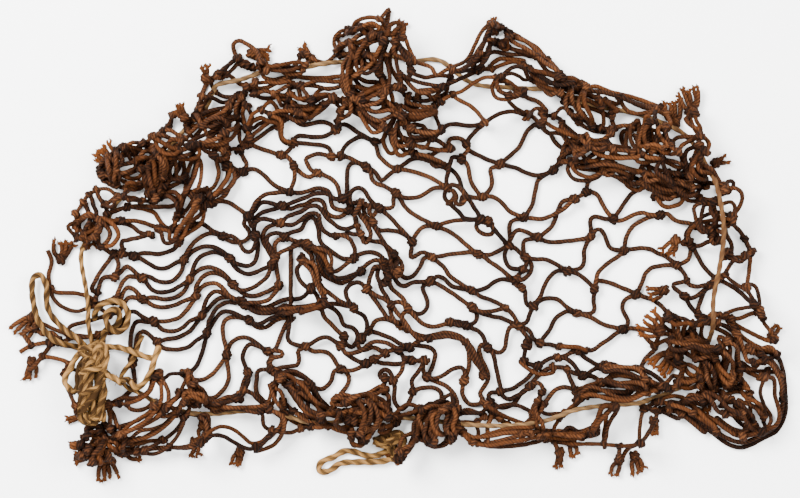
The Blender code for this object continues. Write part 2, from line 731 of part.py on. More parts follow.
def build_tuft(name, row, level, material):
    """A knot head with its cut ends, resting level."""
    corners, lines = tuft_plan(row)
    shell = Shell()
    low = [shell.point(corner, level) for corner in corners]
    tops = []
    for index, line in enumerate(lines):
        top = shell.point(line[0], level + END_HIGH)
        tops.append(top)
        rings = [(low[index + 1], low[index], top)]
        for place in (1, 2):
            left = across(line, place) * END_WIDE / 2
            rings.append((shell.point(line[place] + left, level), shell.point(line[place] - left, level),
                          shell.point(line[place], level + END_HIGH)))
        shell.tube(rings, cap_end=True)
    peak = shell.point(np.mean(corners, axis=0), level + KNOT_HIGH)
    shell.faces.append(tuple(reversed(low)))
    shell.faces.append((low[0], tops[0], peak))
    for index in range(len(lines) - 1):
        shell.faces.append((tops[index], low[index + 1], tops[index + 1]))
        shell.faces.append((tops[index], tops[index + 1], peak))
    shell.faces.append((tops[-1], low[len(lines)], peak))
    back = low[len(lines):] + low[:1]
    for here, there in zip(back, back[1:]):
        shell.faces.append((here, there, peak))
    return shell.finish(name, material)


def build_cord(name, line, levels, material):
    """A round cord along its route, with closed ends."""
    curve = bpy.data.curves.new(name, "CURVE")
    curve.dimensions = "3D"
    curve.bevel_depth = STRING_WIDE / 2 * METRE
    curve.bevel_resolution = 2
    curve.use_fill_caps = True
    spline = curve.splines.new("POLY")
    spline.points.add(len(line) - 1)
    for point, place, level in zip(spline.points, line, levels):
        point.co = ((place[0] - PLAN_MIDDLE[0]) * METRE, (place[1] - PLAN_MIDDLE[1]) * METRE,
                    (level + STRING_WIDE / 2) * METRE, 1)
    cord = bpy.data.objects.new(name, curve)
    bpy.context.collection.objects.link(cord)
    curve.materials.append(material)
    return cord


def add_net(pile, places, layers, ports, bars):
    """Put the net's knots and bars on the pile. Returns the nodes of both."""
    knot_nodes = {key: pile.node(layers[key]) for key in places}
    knot_number = {key: number for number, key in enumerate(places)}
    for key, node in knot_nodes.items():
        pile.sample(wave_points(places[key])[0], node, node, 0, TWINE_WIDE, KNOT_HIGH,
                    -1 - knot_number[key], 0, knot_number[key])
        for outer, shared, _ in ports[key].values():
            pile.sample(wave_points((outer + shared) / 2)[0], node, node, 0, TWINE_WIDE / 2, KNOT_HIGH,
                        -1 - knot_number[key], 0, knot_number[key])
    bar_nodes = []
    for number, bar in enumerate(bars):
        key, far = bar["knots"]
        between = [pile.node((layers[key] + layers[far]) / 2) for _ in bar["line"][1:-1]]
        nodes = [knot_nodes[key], *between, knot_nodes[far]]
        bar_nodes.append(nodes)
        pile.strand(bar["line"], nodes, TWINE_WIDE / 2, TWINE_HIGH, number,
                    (knot_number[key], knot_number[far]))
    return knot_nodes, bar_nodes


def add_cords(pile, routes):
    """Put the drawstring and the tie's cords on the pile. Returns the nodes along each."""
    cord_nodes = {}
    for number, (name, line) in enumerate(routes.items()):
        rise = CORD_START[name] + CORD_SLOPE * np.linspace(0, 1, len(line))
        cord_nodes[name] = [pile.node(start) for start in rise]
        pile.strand(line, cord_nodes[name], STRING_WIDE / 2, STRING_WIDE, FREE_STRANDS + 100 * number)
    return cord_nodes


def add_hemp_knots(pile):
    """Put the wrapped knots on the pile. Returns the node of each."""
    nodes = []
    for number, (_, from_x, from_y, to_x, to_y, half_wide, high, _, _) in enumerate(HEMP_KNOTS):
        node = pile.node(KNOT_START)
        nodes.append(node)
        strand = FREE_STRANDS + 1000 + number
        start, end = np.array((from_x, from_y)), np.array((to_x, to_y))
        left = turned((end - start) / np.linalg.norm(end - start), math.pi / 2)
        for share in np.linspace(0.05, 0.95, 14):
            for swing in (-0.5, 0.5):
                spot = start + share * (end - start) + swing * half_wide * left
                pile.sample(spot, node, node, 0, half_wide / 2, high * LUMP, strand, 0)
    return nodes


def add_tufts(pile):
    """Put the tufts on the pile, low at the rim and on top elsewhere. Returns the node of each."""
    nodes = []
    for number, row in enumerate(TUFTS):
        at_rim = distance_from_middle(row) > FAR_OUT or abs(row[1]) > FAR_UP
        node = pile.node(0 if at_rim else TUFT_START)
        nodes.append(node)
        strand = FREE_STRANDS + 2000 + number
        pile.sample(row, node, node, 0, TUFT_HEAD, KNOT_HIGH, strand, 0)
        for line in tuft_plan(row)[1]:
            for start, end in zip(line, line[1:]):
                for share in (0.1, 0.3, 0.5, 0.7, 0.9):
                    spot = start * (1 - share) + end * share
                    pile.sample(spot, node, node, 0, END_WIDE / 2, END_HIGH, strand, 0)
    return nodes


def main():
    for piece in list(bpy.data.objects):
        bpy.data.objects.remove(piece, do_unlink=True)
    chance = random.Random(SEED)
    places, layers = lay_knots(chance)
    ports = {key: knot_ports(places, key) for key in places}
    bars = lay_bars(places, ports, chance)
    part_bars(bars, ports)
    routes = {"drawstring": smooth_route(DRAWSTRING, STRING_STEP)}
    for name, points in TIE_CORDS.items():
        routes[name] = smooth_route(points, TIE_STEP)

    pile = Pile()
    knot_nodes, bar_nodes = add_net(pile, places, layers, ports, bars)
    cord_nodes = add_cords(pile, routes)
    hemp_nodes = add_hemp_knots(pile)
    tuft_nodes = add_tufts(pile)
    height = pile.settle()

    twine = plain_material("twine", TWINE_COLOUR, 0.85)
    cut_end = plain_material("cut_end", CUT_END_COLOUR, 0.9)
    hemp = plain_material("hemp", HEMP_COLOUR, 0.85)
    build_net(ports, bars, knot_nodes, bar_nodes, height, twine)
    for name, line in routes.items():
        build_cord(name, line, height[cord_nodes[name]], hemp)
    for row, node in zip(HEMP_KNOTS, hemp_nodes):
        build_hemp_knot(row, height[node], hemp)
    for number, (row, node) in enumerate(zip(TUFTS, tuft_nodes)):
        build_tuft(f"tuft_{number + 1:02d}", row, height[node], cut_end)


main()
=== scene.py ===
"""Looks of a knotted twine helmet net that lies gathered on its hemp drawstring.

Tables and sizes are in millimetres on a plan whose X runs right and Y up, as seen from above,
and become metres in the meshes. Angles in tables are in degrees.
"""

import math
import random

import bpy
import numpy as np
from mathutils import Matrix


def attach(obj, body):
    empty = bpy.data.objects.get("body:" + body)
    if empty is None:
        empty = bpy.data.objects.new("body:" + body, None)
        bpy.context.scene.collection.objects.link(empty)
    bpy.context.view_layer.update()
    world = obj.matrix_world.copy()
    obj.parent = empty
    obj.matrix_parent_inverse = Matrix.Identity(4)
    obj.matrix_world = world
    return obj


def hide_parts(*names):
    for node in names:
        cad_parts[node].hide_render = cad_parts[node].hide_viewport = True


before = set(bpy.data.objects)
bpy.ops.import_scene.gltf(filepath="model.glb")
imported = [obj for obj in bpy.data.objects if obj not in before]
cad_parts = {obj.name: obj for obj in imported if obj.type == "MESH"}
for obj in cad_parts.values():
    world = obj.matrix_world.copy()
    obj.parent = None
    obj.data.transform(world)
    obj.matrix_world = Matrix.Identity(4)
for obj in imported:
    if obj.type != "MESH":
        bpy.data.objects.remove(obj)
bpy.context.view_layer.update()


# The view, the table and the light
# The net lies on a white table and is seen from straight above, in the even, shadowless light
# of a copy stand: a wide soft box on each side and a pale room all round.
METRE = 0.001
PLAN_MIDDLE = (1.625, -1.8)
VIEW_MIDDLE = (1.5, -1.8)
VIEW_WIDE = 416.0
VIEW_HIGH = 1500.0
FILM_WIDE = 36.0
TABLE_SIZE = 3.0
TABLE_LOW = -0.0003
SOFT_BOXES = (
    # x, y, z, size, watts
    (-0.60, 0.50, 1.05, 0.7, 84.0),
    (0.75, 0.10, 1.05, 0.9, 30.0),
)
ROOM_LIGHT = 2.5
ROOM_COLOUR = (0.985, 0.99, 1.0, 1)
PAPER_COLOUR = (0.90, 0.905, 0.90, 1)
PAPER_ROUGH = 0.8

scene = bpy.context.scene
view = bpy.data.cameras.new("view")
view.sensor_width = FILM_WIDE
view.lens = FILM_WIDE * VIEW_HIGH / VIEW_WIDE
camera = bpy.data.objects.new("camera", view)
camera.location = (VIEW_MIDDLE[0] * METRE, VIEW_MIDDLE[1] * METRE, VIEW_HIGH * METRE)
scene.collection.objects.link(camera)
scene.camera = camera

for x, y, z, size, watts in SOFT_BOXES:
    lamp = bpy.data.lights.new("soft_box", "AREA")
    lamp.shape = "DISK"
    lamp.size = size
    lamp.energy = watts
    holder = bpy.data.objects.new("soft_box", lamp)
    holder.location = (x, y, z)
    holder.rotation_euler = (-holder.location).to_track_quat("-Z", "Y").to_euler()
    scene.collection.objects.link(holder)

room = bpy.data.worlds.new("room")
room.use_nodes = True
room.node_tree.nodes["Background"].inputs["Color"].default_value = ROOM_COLOUR
room.node_tree.nodes["Background"].inputs["Strength"].default_value = ROOM_LIGHT
scene.world = room

half = TABLE_SIZE / 2
table_mesh = bpy.data.meshes.new("table")
table_mesh.from_pydata([(-half, -half, TABLE_LOW), (half, -half, TABLE_LOW), (half, half, TABLE_LOW),
                        (-half, half, TABLE_LOW)], [], [(0, 1, 2, 3)])
table = bpy.data.objects.new("table", table_mesh)
scene.collection.objects.link(table)
paper = bpy.data.materials.new("paper")
paper.use_nodes = True
paper.node_tree.nodes["Principled BSDF"].inputs["Base Color"].default_value = PAPER_COLOUR
paper.node_tree.nodes["Principled BSDF"].inputs["Roughness"].default_value = PAPER_ROUGH
table_mesh.materials.append(paper)


# Where the hemp string runs
# One hemp string is threaded round the rim, comes back to where it starts and is tied there. The
# tie leaves two bights, an eye and an end, and a last bight hangs from the lower edge.
STRING_WIDE = 2.8
STRING_STEP = 6.0
TIE_STEP = 4.0
DRAWSTRING = (
    (-156, -53), (-158, -43), (-158, -35), (-159, -25), (-161, -15), (-162, -7), (-160, -1),
    (-157, 4), (-150, 10), (-145, 19), (-141, 24), (-135, 29), (-127, 32), (-119, 44), (-111, 56),
    (-98, 69), (-92, 81), (-83, 83), (-72, 87), (-62, 91), (-49, 90), (-38, 92), (-25, 94),
    (-5, 97), (10, 94), (19, 95), (27, 93), (31, 89), (42, 82), (58, 80), (82, 79), (90, 75),
    (109, 70), (128, 66), (145, 59), (152, 54), (158, 46), (165, 30), (169, 6), (167, -14),
    (164, -30), (164, -46), (162, -56), (156, -71), (145, -77), (128, -83), (107, -85),
    (93, -87), (76, -93), (55, -95), (24, -93), (3, -91), (-20, -92), (-38, -94), (-49, -92),
    (-67, -87), (-93, -89), (-107, -88), (-122, -83), (-130, -78.5), (-137, -75.5), (-141, -72),
    (-140, -67), (-136, -62.5), (-133.5, -57), (-132, -52), (-130.5, -48.5),
)
TIE_CORDS = {
    "tie_left_bight": (
        (-161.5, -52.5), (-164, -50), (-169, -46.5), (-174, -42), (-178, -37), (-180, -31),
        (-180, -24), (-182.5, -17.5), (-186.5, -18), (-187.5, -24), (-186.5, -32), (-184.5, -39),
        (-180.5, -46), (-175, -51), (-168.5, -53.5), (-164.5, -54.5),
    ),
    "tie_left_end": (
        (-155.5, -53), (-159.5, -55), (-163, -58), (-165, -61), (-166.5, -65), (-169, -69),
        (-169.5, -72.5), (-167, -75.5),
    ),
    "tie_eye": (
        (-151.5, -53), (-150.5, -48.5), (-148.5, -44.5), (-144.5, -44), (-141.5, -40),
        (-142, -35.5), (-145.5, -34.5), (-148, -38), (-147, -43), (-143, -46.5), (-138.5, -44),
        (-137, -38.5), (-138.5, -33.5), (-143, -30.5), (-149, -31.5), (-153.5, -35), (-155, -39.5),
    ),
    "tie_right_bight": (
        (-148, -54.5), (-143, -54.5), (-137, -56), (-130, -58.5), (-125, -60), (-121.8, -57),
        (-121.5, -53.5), (-122.5, -58), (-124.5, -65), (-127.5, -71), (-132, -75), (-136, -72.5),
    ),
    "lower_bight": (
        (-2, -107.5), (-8, -110.5), (-14, -111), (-20, -109), (-26, -108.5), (-31, -111.5),
        (-36.5, -113.5), (-39.5, -117), (-37.5, -119.5), (-33, -118.5), (-28, -115), (-20, -114.2),
        (-11, -114.2), (-5, -113.6), (-1.5, -112.5),
    ),
}
CORD_START = {"drawstring": 3, "tie_left_bight": 10, "tie_left_end": 12, "tie_eye": 11,
              "tie_right_bight": 10, "lower_bight": 10}
CORD_SLOPE = 2.0
STRING_OVER = 163
OVER_START = 14.0


def through(points, step):
    """Evenly spaced points along a smooth curve through given ones."""
    route = np.array(points, float)
    route = np.vstack([2 * route[0] - route[1], route, 2 * route[-1] - route[-2]])
    dense = []
    for before, here, there, after in zip(route, route[1:], route[2:], route[3:]):
        for share in np.arange(0, 1, 0.1):
            dense.append(0.5 * (2 * here + (there - before) * share
                                + (2 * before - 5 * here + 4 * there - after) * share ** 2
                                + (3 * here - before - 3 * there + after) * share ** 3))
    dense.append(route[-2])
    dense = np.array(dense)
    run = np.concatenate([[0], np.cumsum(np.linalg.norm(np.diff(dense, axis=0), axis=1))])
    even = np.linspace(0, run[-1], max(2, round(run[-1] / step)) + 1)
    return np.column_stack([np.interp(even, run, dense[:, axis]) for axis in range(dense.shape[1])])


cord_routes = {"drawstring": through(DRAWSTRING, STRING_STEP)}
for name, points in TIE_CORDS.items():
    cord_routes[name] = through(points, TIE_STEP)


# Where the net's strands run
# The net is knotted from one kind of twine. Its strands run from knot to knot across the middle,
# and the string has drawn the rest into bunches, folds and loops round the rim.
SQUARE = 0.52
ORIGIN = (394, 242)
STRANDS = (
    # first height, then x and y of each point in squares to the right and down.
    # A point that two strands share is a knot.
    # waves on the left
    (1, 180,240, 184,232, 190,226, 199,223, 207,226, 213,231, 219,233, 223,236, 232,236, 239,241,
     243,249, 248,252, 253,250, 256,243, 256,236),
    (1, 143,278, 146,276, 151,277, 158,281, 165,282, 172,281, 178,276, 182,270, 184,260, 187,253, 193,244,
     201,237, 211,233, 219,235, 223,236, 230,241, 240,242, 246,240, 250,235, 248,229, 244,223, 249,216),
    (1, 134,256, 142,259, 150,264, 158,268, 166,268, 172,265, 179,261, 184,260, 192,252, 199,248, 208,246,
     217,248, 224,252, 230,258, 236,263, 243,265, 248,266, 254,263, 257,257, 258,250, 258,243, 256,236,
     254,228, 255,219, 260,214, 267,211, 275,209, 283,206),
    (1, 143,278, 147,283, 150,287, 155,291, 164,292, 173,290, 180,286, 190,279, 193,270, 195,265, 199,258,
     206,254, 214,252, 222,254, 230,258, 234,266, 240,271, 247,274, 254,273, 261,270, 268,267, 272,265),
    (1, 143,299, 153,297, 163,299, 173,298, 180,295, 185,290, 190,279, 196,272, 203,268, 211,267, 219,270,
     226,275, 233,284, 238,289, 244,290, 252,288, 260,283, 267,277, 270,271, 272,265, 272,258, 268,250,
     264,243, 263,235, 267,228, 273,225, 281,223),
    (1, 143,299, 148,302, 153,305, 161,307, 171,306, 180,303, 186,300, 196,296, 196,290, 199,282, 204,276,
     210,273, 218,273, 225,277, 230,281, 233,284, 239,290, 245,294, 253,296, 261,294, 268,291, 279,285),
    (1, 155,321, 164,321, 172,320, 180,317, 185,312, 190,306, 196,296, 199,290, 205,285, 212,283, 219,284,
     225,289, 230,295, 241,301, 250,302, 259,302, 268,300, 275,293, 279,285, 277,270, 276,258, 275,245,
     279,240, 285,237),
    (1, 155,321, 159,325, 163,329, 170,331, 178,330, 185,326, 190,321, 202,315, 204,308, 207,300, 211,294,
     217,291, 224,293, 231,296, 241,301, 252,305, 262,309, 273,309, 284,308, 291,304, 291,290, 291,275,
     291,260, 292,246, 301,243),
    (1, 158,342, 166,339, 176,338, 183,335, 190,331, 195,325, 202,315, 208,309, 213,303, 220,298, 229,297,
     237,300, 246,305, 255,311, 264,313, 273,312, 284,308, 295,307, 306,306, 316,304, 323,304),
    (1, 158,342, 162,347, 170,349, 180,349, 190,346, 197,340, 207,333, 209,322, 213,314, 218,307, 225,303,
     233,302, 240,304, 246,305, 256,306, 266,307, 276,303, 286,299, 295,299, 303,297, 309,292, 312,288),
    (1, 184,373, 190,371, 195,368, 199,361, 202,353, 205,343, 207,333, 212,325, 216,318, 221,313, 227,311,
     235,313, 241,316, 249,320, 257,324, 262,323, 269,319, 276,316, 283,312, 290,311, 300,309, 312,307,
     321,305),
    (1, 184,373, 190,378, 196,380, 204,379, 211,375, 217,369, 222,362, 227,355, 226,346, 224,338, 223,330,
     224,322, 229,318, 236,317, 242,318, 249,320, 254,325, 261,328, 268,326, 275,321, 282,318, 290,318),
    (1, 203,395, 208,398, 215,397, 222,391, 227,384, 229,376, 228,367, 227,355, 229,347, 232,342, 238,338,
     245,337, 251,339, 257,343, 268,351, 275,349, 278,343, 281,335, 285,326, 290,318),
    (1, 134,256, 142,253, 150,253, 158,254, 167,252, 174,249, 178,245, 180,240),
    (1, 100,244, 105,248, 114,254, 123,253, 134,256),
    (2, 123,253, 124,246, 123,241, 127,241, 134,239, 141,238, 148,236, 153,234),
    (1, 92,290, 96,281, 101,272, 106,265, 111,258, 114,254, 118,260, 119,267, 115,277, 119,274, 123,270,
     126,266, 131,268, 137,273, 143,278),
    (1, 92,304, 96,298, 99,288, 101,281, 105,277, 115,277),
    (1, 92,304, 100,303, 113,299, 116,300, 119,293, 122,285, 126,279, 130,276, 136,277, 143,278),
    (1, 116,300, 121,303, 122,297, 125,290, 129,287, 134,289, 139,294, 143,299),
    (1, 118,312, 121,308, 124,304, 127,299, 132,297, 138,298, 143,299),
    (1, 118,325, 125,320, 131,312, 136,311, 142,315, 149,319, 155,321),
    (1, 128,366, 133,360, 132,352, 131,342, 132,333, 134,326, 138,321, 143,321, 149,322, 155,321),
    (1, 133,360, 136,346, 137,338, 140,333, 144,331, 149,334, 153,338, 158,342),
    (1, 60,343, 72,338, 84,337, 97,335, 104,331, 112,333, 122,325),
    (1, 120,400, 127,394, 133,388, 135,380, 134,371, 133,360),
    # fold that stands on the left of the middle
    (2, 249,216, 252,211, 256,203, 262,197, 268,194, 276,193, 290,192, 300,193, 308,191, 314,189, 320,188,
     326,190, 330,193, 331,200, 333,207, 340,210, 350,210),
    (2, 249,216, 254,212, 259,205, 264,202, 270,203, 283,206, 292,203, 300,200, 308,197, 315,194, 327,194,
     335,199, 343,199),
    (2, 249,216, 251,224, 255,228, 256,222, 263,219, 271,220, 281,223, 287,217, 295,214, 303,211, 311,206,
     319,207, 323,212, 327,218, 333,223, 340,228, 347,229, 356,226),
    (2, 281,223, 288,225, 295,224, 301,220, 307,215, 313,213, 319,215, 320,222, 322,228, 327,233, 334,236,
     342,235, 349,233, 358,236),
    (2, 283,206, 290,209, 298,206, 306,204, 313,200, 320,200, 324,204, 326,212, 332,216, 340,217, 350,210),
    (2, 276,258, 272,250, 268,243, 267,238, 272,234, 280,233, 285,237, 290,233, 297,231, 302,229, 305,222,
     309,218, 314,218, 317,225, 319,232, 319,238, 323,245, 330,250, 338,256, 346,259, 354,258),
    (3, 272,265, 276,258, 280,253, 288,249, 296,246, 301,243, 308,244, 315,247, 322,250, 325,257, 326,264,
     331,271, 337,271, 344,266, 354,258),
    (3, 285,237, 293,240, 301,243, 306,250, 311,254, 313,262, 317,272, 318,279, 324,288, 332,294, 340,300,
     354,307),
    (4, 302,257, 307,260, 312,265, 314,271, 318,279, 314,284, 312,288, 306,285, 301,280, 298,272, 299,266,
     304,262, 302,257),
    (3, 312,288, 317,293, 320,300, 323,304, 332,303, 340,304, 354,307),
    (3, 322,250, 318,257, 320,267, 324,275, 331,279, 340,283, 347,281, 361,271, 365,266, 370,262,
     377,260, 385,263),
    (4, 308,244, 314,250, 320,258, 325,268, 331,275, 338,278, 346,277, 354,274, 361,271),
    (3, 354,258, 360,254, 368,252, 376,253, 382,257, 385,263, 388,272),
    (3, 354,258, 355,250, 353,244, 350,239, 345,236, 334,234),
    (2, 321,305, 325,317, 332,324, 338,331, 344,336, 341,345),
    (2, 323,304, 333,308, 340,315, 344,325, 352,327, 357,333, 357,340, 352,347, 346,343, 344,336),
    (2, 268,351, 272,356, 268,363, 272,369, 264,369, 258,371, 257,379, 256,387, 257,393, 262,399, 268,405),
    (3, 268,351, 276,350, 283,352, 283,355, 276,357, 271,359, 272,369, 281,367, 290,366, 298,364, 299,357,
     298,351, 306,346),
    (2, 290,318, 289,330, 288,338, 292,343, 299,345, 306,346, 313,342, 320,338, 328,337, 341,345, 345,352,
     352,357, 359,361, 366,363),
    (2, 306,346, 313,351, 321,351, 329,353, 334,359, 341,369, 352,370, 360,367, 367,363, 374,359, 385,353),
    (2, 272,369, 281,372, 290,372, 299,375, 306,378, 311,385, 320,389, 327,386, 332,379, 334,371, 341,369,
     347,373, 349,380, 346,387, 341,393, 338,398),
    (3, 272,369, 283,374, 291,378, 299,381, 311,385, 316,396, 322,404, 330,409),
    (3, 268,351, 257,345, 250,344, 246,348, 243,355, 244,363, 248,372, 244,381, 242,388, 240,395, 236,398,
     229,399, 221,401, 212,403, 203,395),
    (4, 248,372, 249,380, 246,388, 242,394, 244,401),
    (2, 245,391, 252,392, 257,397, 262,402, 268,405),
    # cells above the fold
    (1, 214,155, 220,159, 227,163, 232,167, 243,172, 250,169, 257,170, 264,175, 270,181, 276,186, 290,192),
    (1, 240,150, 243,157, 247,165, 243,172, 238,176, 233,182, 229,189, 225,196, 212,203, 204,204),
    (1, 212,203, 222,201, 230,203, 238,208, 249,216),
    (1, 240,150, 250,144, 254,146, 262,149, 272,152, 281,155, 289,150, 293,143, 286,143, 281,138, 280,130,
     279,122),
    (1, 281,155, 288,157, 294,166, 295,175, 294,182, 290,192),
    (1, 294,166, 299,171, 304,175, 310,177, 318,173, 326,176, 333,180, 338,187, 340,195, 343,199),
    (1, 318,173, 311,170, 307,163, 306,159, 311,156, 320,154, 332,157, 341,156, 349,158, 357,162, 366,167,
     371,174, 372,180, 377,184, 384,186, 396,193),
    (1, 293,143, 302,143, 311,144, 321,145, 329,148, 332,157),
    (1, 293,143, 297,136, 305,136, 315,137, 325,136, 336,130, 343,124, 350,127, 357,132, 364,136, 375,142),
    (1, 296,121, 302,125, 311,124, 320,122, 330,124, 336,130, 338,122, 342,115),
    (1, 341,156, 344,148, 350,142, 357,138, 364,137, 375,142, 383,140, 385,134, 388,128),
    (1, 350,210, 347,199, 347,186, 347,176, 348,168, 352,163, 358,163, 366,167, 374,171, 378,176, 381,181,
     385,178, 391,173, 397,169, 404,164, 410,160, 418,158, 428,158),
    (1, 375,142, 377,149, 379,156, 384,161, 390,166, 397,169, 406,170, 415,172, 424,175, 433,179, 447,188),
    (3, 350,210, 350,196, 353,190, 358,188, 363,189, 367,195, 371,201, 379,208),
    (1, 396,193, 402,197, 410,198, 418,197, 426,193, 434,188, 447,188),
    (1, 379,208, 384,208, 390,208, 394,205, 393,199, 396,193, 401,200, 405,207, 412,213, 420,218, 436,226,
     444,229, 450,232, 456,236, 463,242, 470,248, 478,254, 484,257, 490,262, 498,267, 504,272, 515,281),
    # knotted fold down the middle
    (4, 343,199, 352,203, 361,203, 369,206, 379,208, 385,213, 391,218, 397,225, 403,231, 412,241),
    (5, 350,210, 356,218, 357,226, 360,234, 365,238, 372,241, 380,242, 388,247, 394,253, 397,260, 396,268),
    (6, 361,203, 359,212, 364,220, 369,228, 371,236, 365,244, 362,236, 358,228, 355,216, 361,203),
    (5, 379,208, 373,216, 369,212, 370,205, 364,208, 366,217, 372,222, 376,230, 380,236, 386,246, 390,256,
     391,266, 388,276),
    (4, 372,222, 379,230, 387,230, 395,231, 402,233, 412,241, 411,250, 411,258, 418,254, 424,252, 432,257),
    (5, 396,256, 401,262, 402,270, 397,277, 393,270, 394,262, 396,256),
    (3, 388,272, 385,280, 380,283, 383,291, 388,299, 390,308, 393,318, 401,325),
    (4, 385,263, 378,270, 378,278, 384,285, 389,279, 385,270, 376,266, 371,275, 369,282, 367,289, 363,284,
     356,282, 350,285, 346,291, 348,298, 354,307, 358,312, 364,315, 367,322, 367,330, 362,338),
    (3, 367,289, 373,297, 378,304, 383,311, 387,317, 393,320, 401,325, 409,330, 417,334, 426,336, 436,334,
     446,332, 455,334, 463,338, 469,350, 474,360, 480,368, 483,375),
    (4, 367,289, 376,295, 385,299, 392,305, 397,312, 404,320, 410,329, 418,338, 428,338, 438,337, 448,336,
     458,338, 466,341, 472,348, 476,356, 480,364, 483,375),
    (3, 388,280, 391,287, 397,293, 403,298, 408,308, 414,315, 421,322, 429,326, 438,326, 450,322),
    (4, 395,302, 401,302, 408,308, 402,315, 404,322, 408,331),
    (2, 371,330, 374,322, 380,319, 387,319, 394,322, 401,325),
    (2, 362,338, 367,332, 375,332, 383,335, 391,338, 399,343, 409,347, 414,345, 423,346, 431,348, 435,353,
     434,361, 431,370, 427,377, 434,378, 441,376, 447,372, 454,368, 461,367, 465,372, 464,380),
    (3, 341,345, 346,352, 355,352, 363,349, 370,343, 377,341, 385,342, 392,345, 399,350, 403,356,
     411,360, 424,360),
    (3, 362,338, 358,345, 364,350, 374,347, 385,353, 391,350, 399,350),
    (2, 409,347, 418,341, 426,338),
    # open cells right of the fold
    (1, 441,131, 446,126, 453,124, 462,125, 472,126, 484,124, 478,129, 472,135, 466,144, 470,151, 478,155,
     486,159, 500,164, 508,166, 516,168, 524,172, 533,175, 542,175, 553,170, 558,165, 563,162, 572,162),
    (3, 428,158, 440,150, 455,149, 449,145, 449,140, 455,138, 461,139, 466,144, 468,150, 461,159, 467,164,
     469,173, 471,182, 476,190, 482,197, 489,196, 495,198, 501,202, 506,208, 512,213, 524,217, 531,218,
     540,219, 548,217, 556,213, 563,209, 574,199, 580,196, 586,192, 592,192, 598,196, 602,204, 607,212,
     613,219, 619,221, 627,218, 635,214, 643,213, 650,215, 659,215, 668,214, 672,219, 680,222, 688,223,
     697,226),
    (1, 500,164, 507,158, 514,152, 519,147, 523,139, 527,131, 537,124, 545,131, 550,134, 554,141, 560,147,
     567,150),
    (1, 500,164, 494,168, 490,168, 491,175, 492,182, 490,189, 482,197, 475,198, 466,197, 460,203, 463,196),
    (1, 553,170, 542,177, 538,180, 536,187, 534,196, 532,205, 524,217, 517,219, 511,222, 509,228, 510,238,
     508,245),
    (1, 574,199, 566,200, 561,203, 558,210, 555,219, 551,227, 538,237, 531,234, 524,231, 517,230, 512,236,
     508,245),
    (1, 538,237, 545,241, 555,242, 565,241, 575,240, 590,237, 594,231, 599,229, 604,235, 607,243, 610,248,
     617,250, 624,250, 632,249, 641,248, 650,249, 657,253, 665,256, 676,265, 681,270, 685,276, 687,283,
     692,286, 700,286, 707,283, 716,279),
    (1, 613,219, 605,219, 598,217, 592,217, 590,223, 591,230, 590,237, 587,243, 584,250, 584,258, 583,265,
     578,269, 567,271, 575,273, 582,277, 594,289, 593,298, 594,306, 592,313, 577,313, 568,311, 561,314,
     554,320, 550,329, 540,343, 549,344, 558,346, 567,346, 578,350, 583,356, 589,360, 596,364, 606,365),
    (1, 553,170, 558,163, 563,156, 567,150),
    (1, 586,192, 588,182, 594,177, 601,172, 607,168),
    (1, 613,219, 618,212, 624,203, 630,195, 637,190, 645,187, 653,184),
    (1, 659,215, 650,217, 641,221, 633,226, 628,233, 625,241, 624,250, 617,257, 609,262, 602,268, 597,274,
     594,289),
    (1, 676,265, 668,265, 659,266, 651,268, 645,274, 642,282, 636,294, 629,297, 624,301, 622,308, 625,315,
     628,322, 623,329, 614,327, 605,325, 597,321, 590,317, 577,313),
    (1, 676,265, 682,263, 688,259, 690,252, 691,246, 698,246, 706,242, 714,240),
    (1, 680,243, 691,246, 697,256, 702,265, 708,272, 716,279, 723,282, 730,286, 738,292, 748,303),
    (1, 697,226, 692,227, 688,231, 687,238, 691,246),
    (1, 594,289, 597,281, 602,281, 611,283, 620,287, 628,290, 636,294, 645,297, 653,300, 661,306, 667,313,
     674,320),
    (1, 672,285, 678,291, 684,296, 690,298, 697,295, 703,290, 709,285, 716,279),
    (1, 684,296, 688,303, 693,310, 699,315, 706,319),
    (1, 709,285, 704,292, 701,299, 698,308, 697,316),
    (1, 623,329, 633,328, 641,331, 646,338, 655,348, 648,355, 643,362, 640,369),
    (1, 623,329, 615,334, 607,340, 599,345, 592,350, 578,350, 572,352, 566,355, 559,358),
    (2, 508,245, 515,248, 525,257, 536,259, 544,259, 552,262, 567,271, 560,270, 553,273, 547,280, 543,288,
     540,296, 533,306, 541,300, 550,298, 559,300, 565,306, 577,313),
    (2, 538,237, 532,239, 525,240, 523,246, 525,257, 526,265, 522,270, 515,281, 519,290),
    (2, 508,245, 505,252, 505,260, 509,267, 516,269, 522,268),
    (2, 525,257, 531,263, 531,270, 526,277, 519,280),
    (2, 515,281, 521,287, 525,291, 525,299, 528,306, 533,306, 529,314, 527,321, 519,326),
    # the fold's knots between the middle and the open cells
    (3, 428,158, 436,163, 447,167, 454,172, 459,180, 461,188, 466,196, 472,206, 479,216, 486,221, 492,228,
     497,234, 503,240, 508,245),
    (4, 461,159, 453,157, 450,163, 448,172, 446,181, 447,188, 444,197, 452,206, 459,213, 465,219, 479,220,
     486,221),
    (5, 447,188, 453,185, 460,190, 464,198, 461,205, 455,203, 456,196, 451,190, 455,196, 450,201),
    (3, 436,226, 444,223, 452,221, 461,220, 470,220, 479,220),
    (3, 479,220, 475,226, 479,232, 486,235, 493,232, 490,225),
    (1, 436,226, 427,226, 420,229, 415,236, 412,241),
    (1, 432,257, 425,257, 422,263, 418,270, 413,276, 407,278, 402,276, 398,270),
    (1, 432,257, 440,256, 450,254, 460,253, 470,252, 478,254, 486,255, 494,253, 508,245),
    (1, 432,257, 438,262, 444,267, 449,275, 457,281, 471,290, 480,296, 489,299, 498,303, 506,308, 513,315,
     519,326, 524,333, 529,340, 530,348),
    (1, 388,272, 394,277, 398,283, 404,286, 414,282, 430,281, 438,276, 446,280, 452,286, 471,290, 479,290,
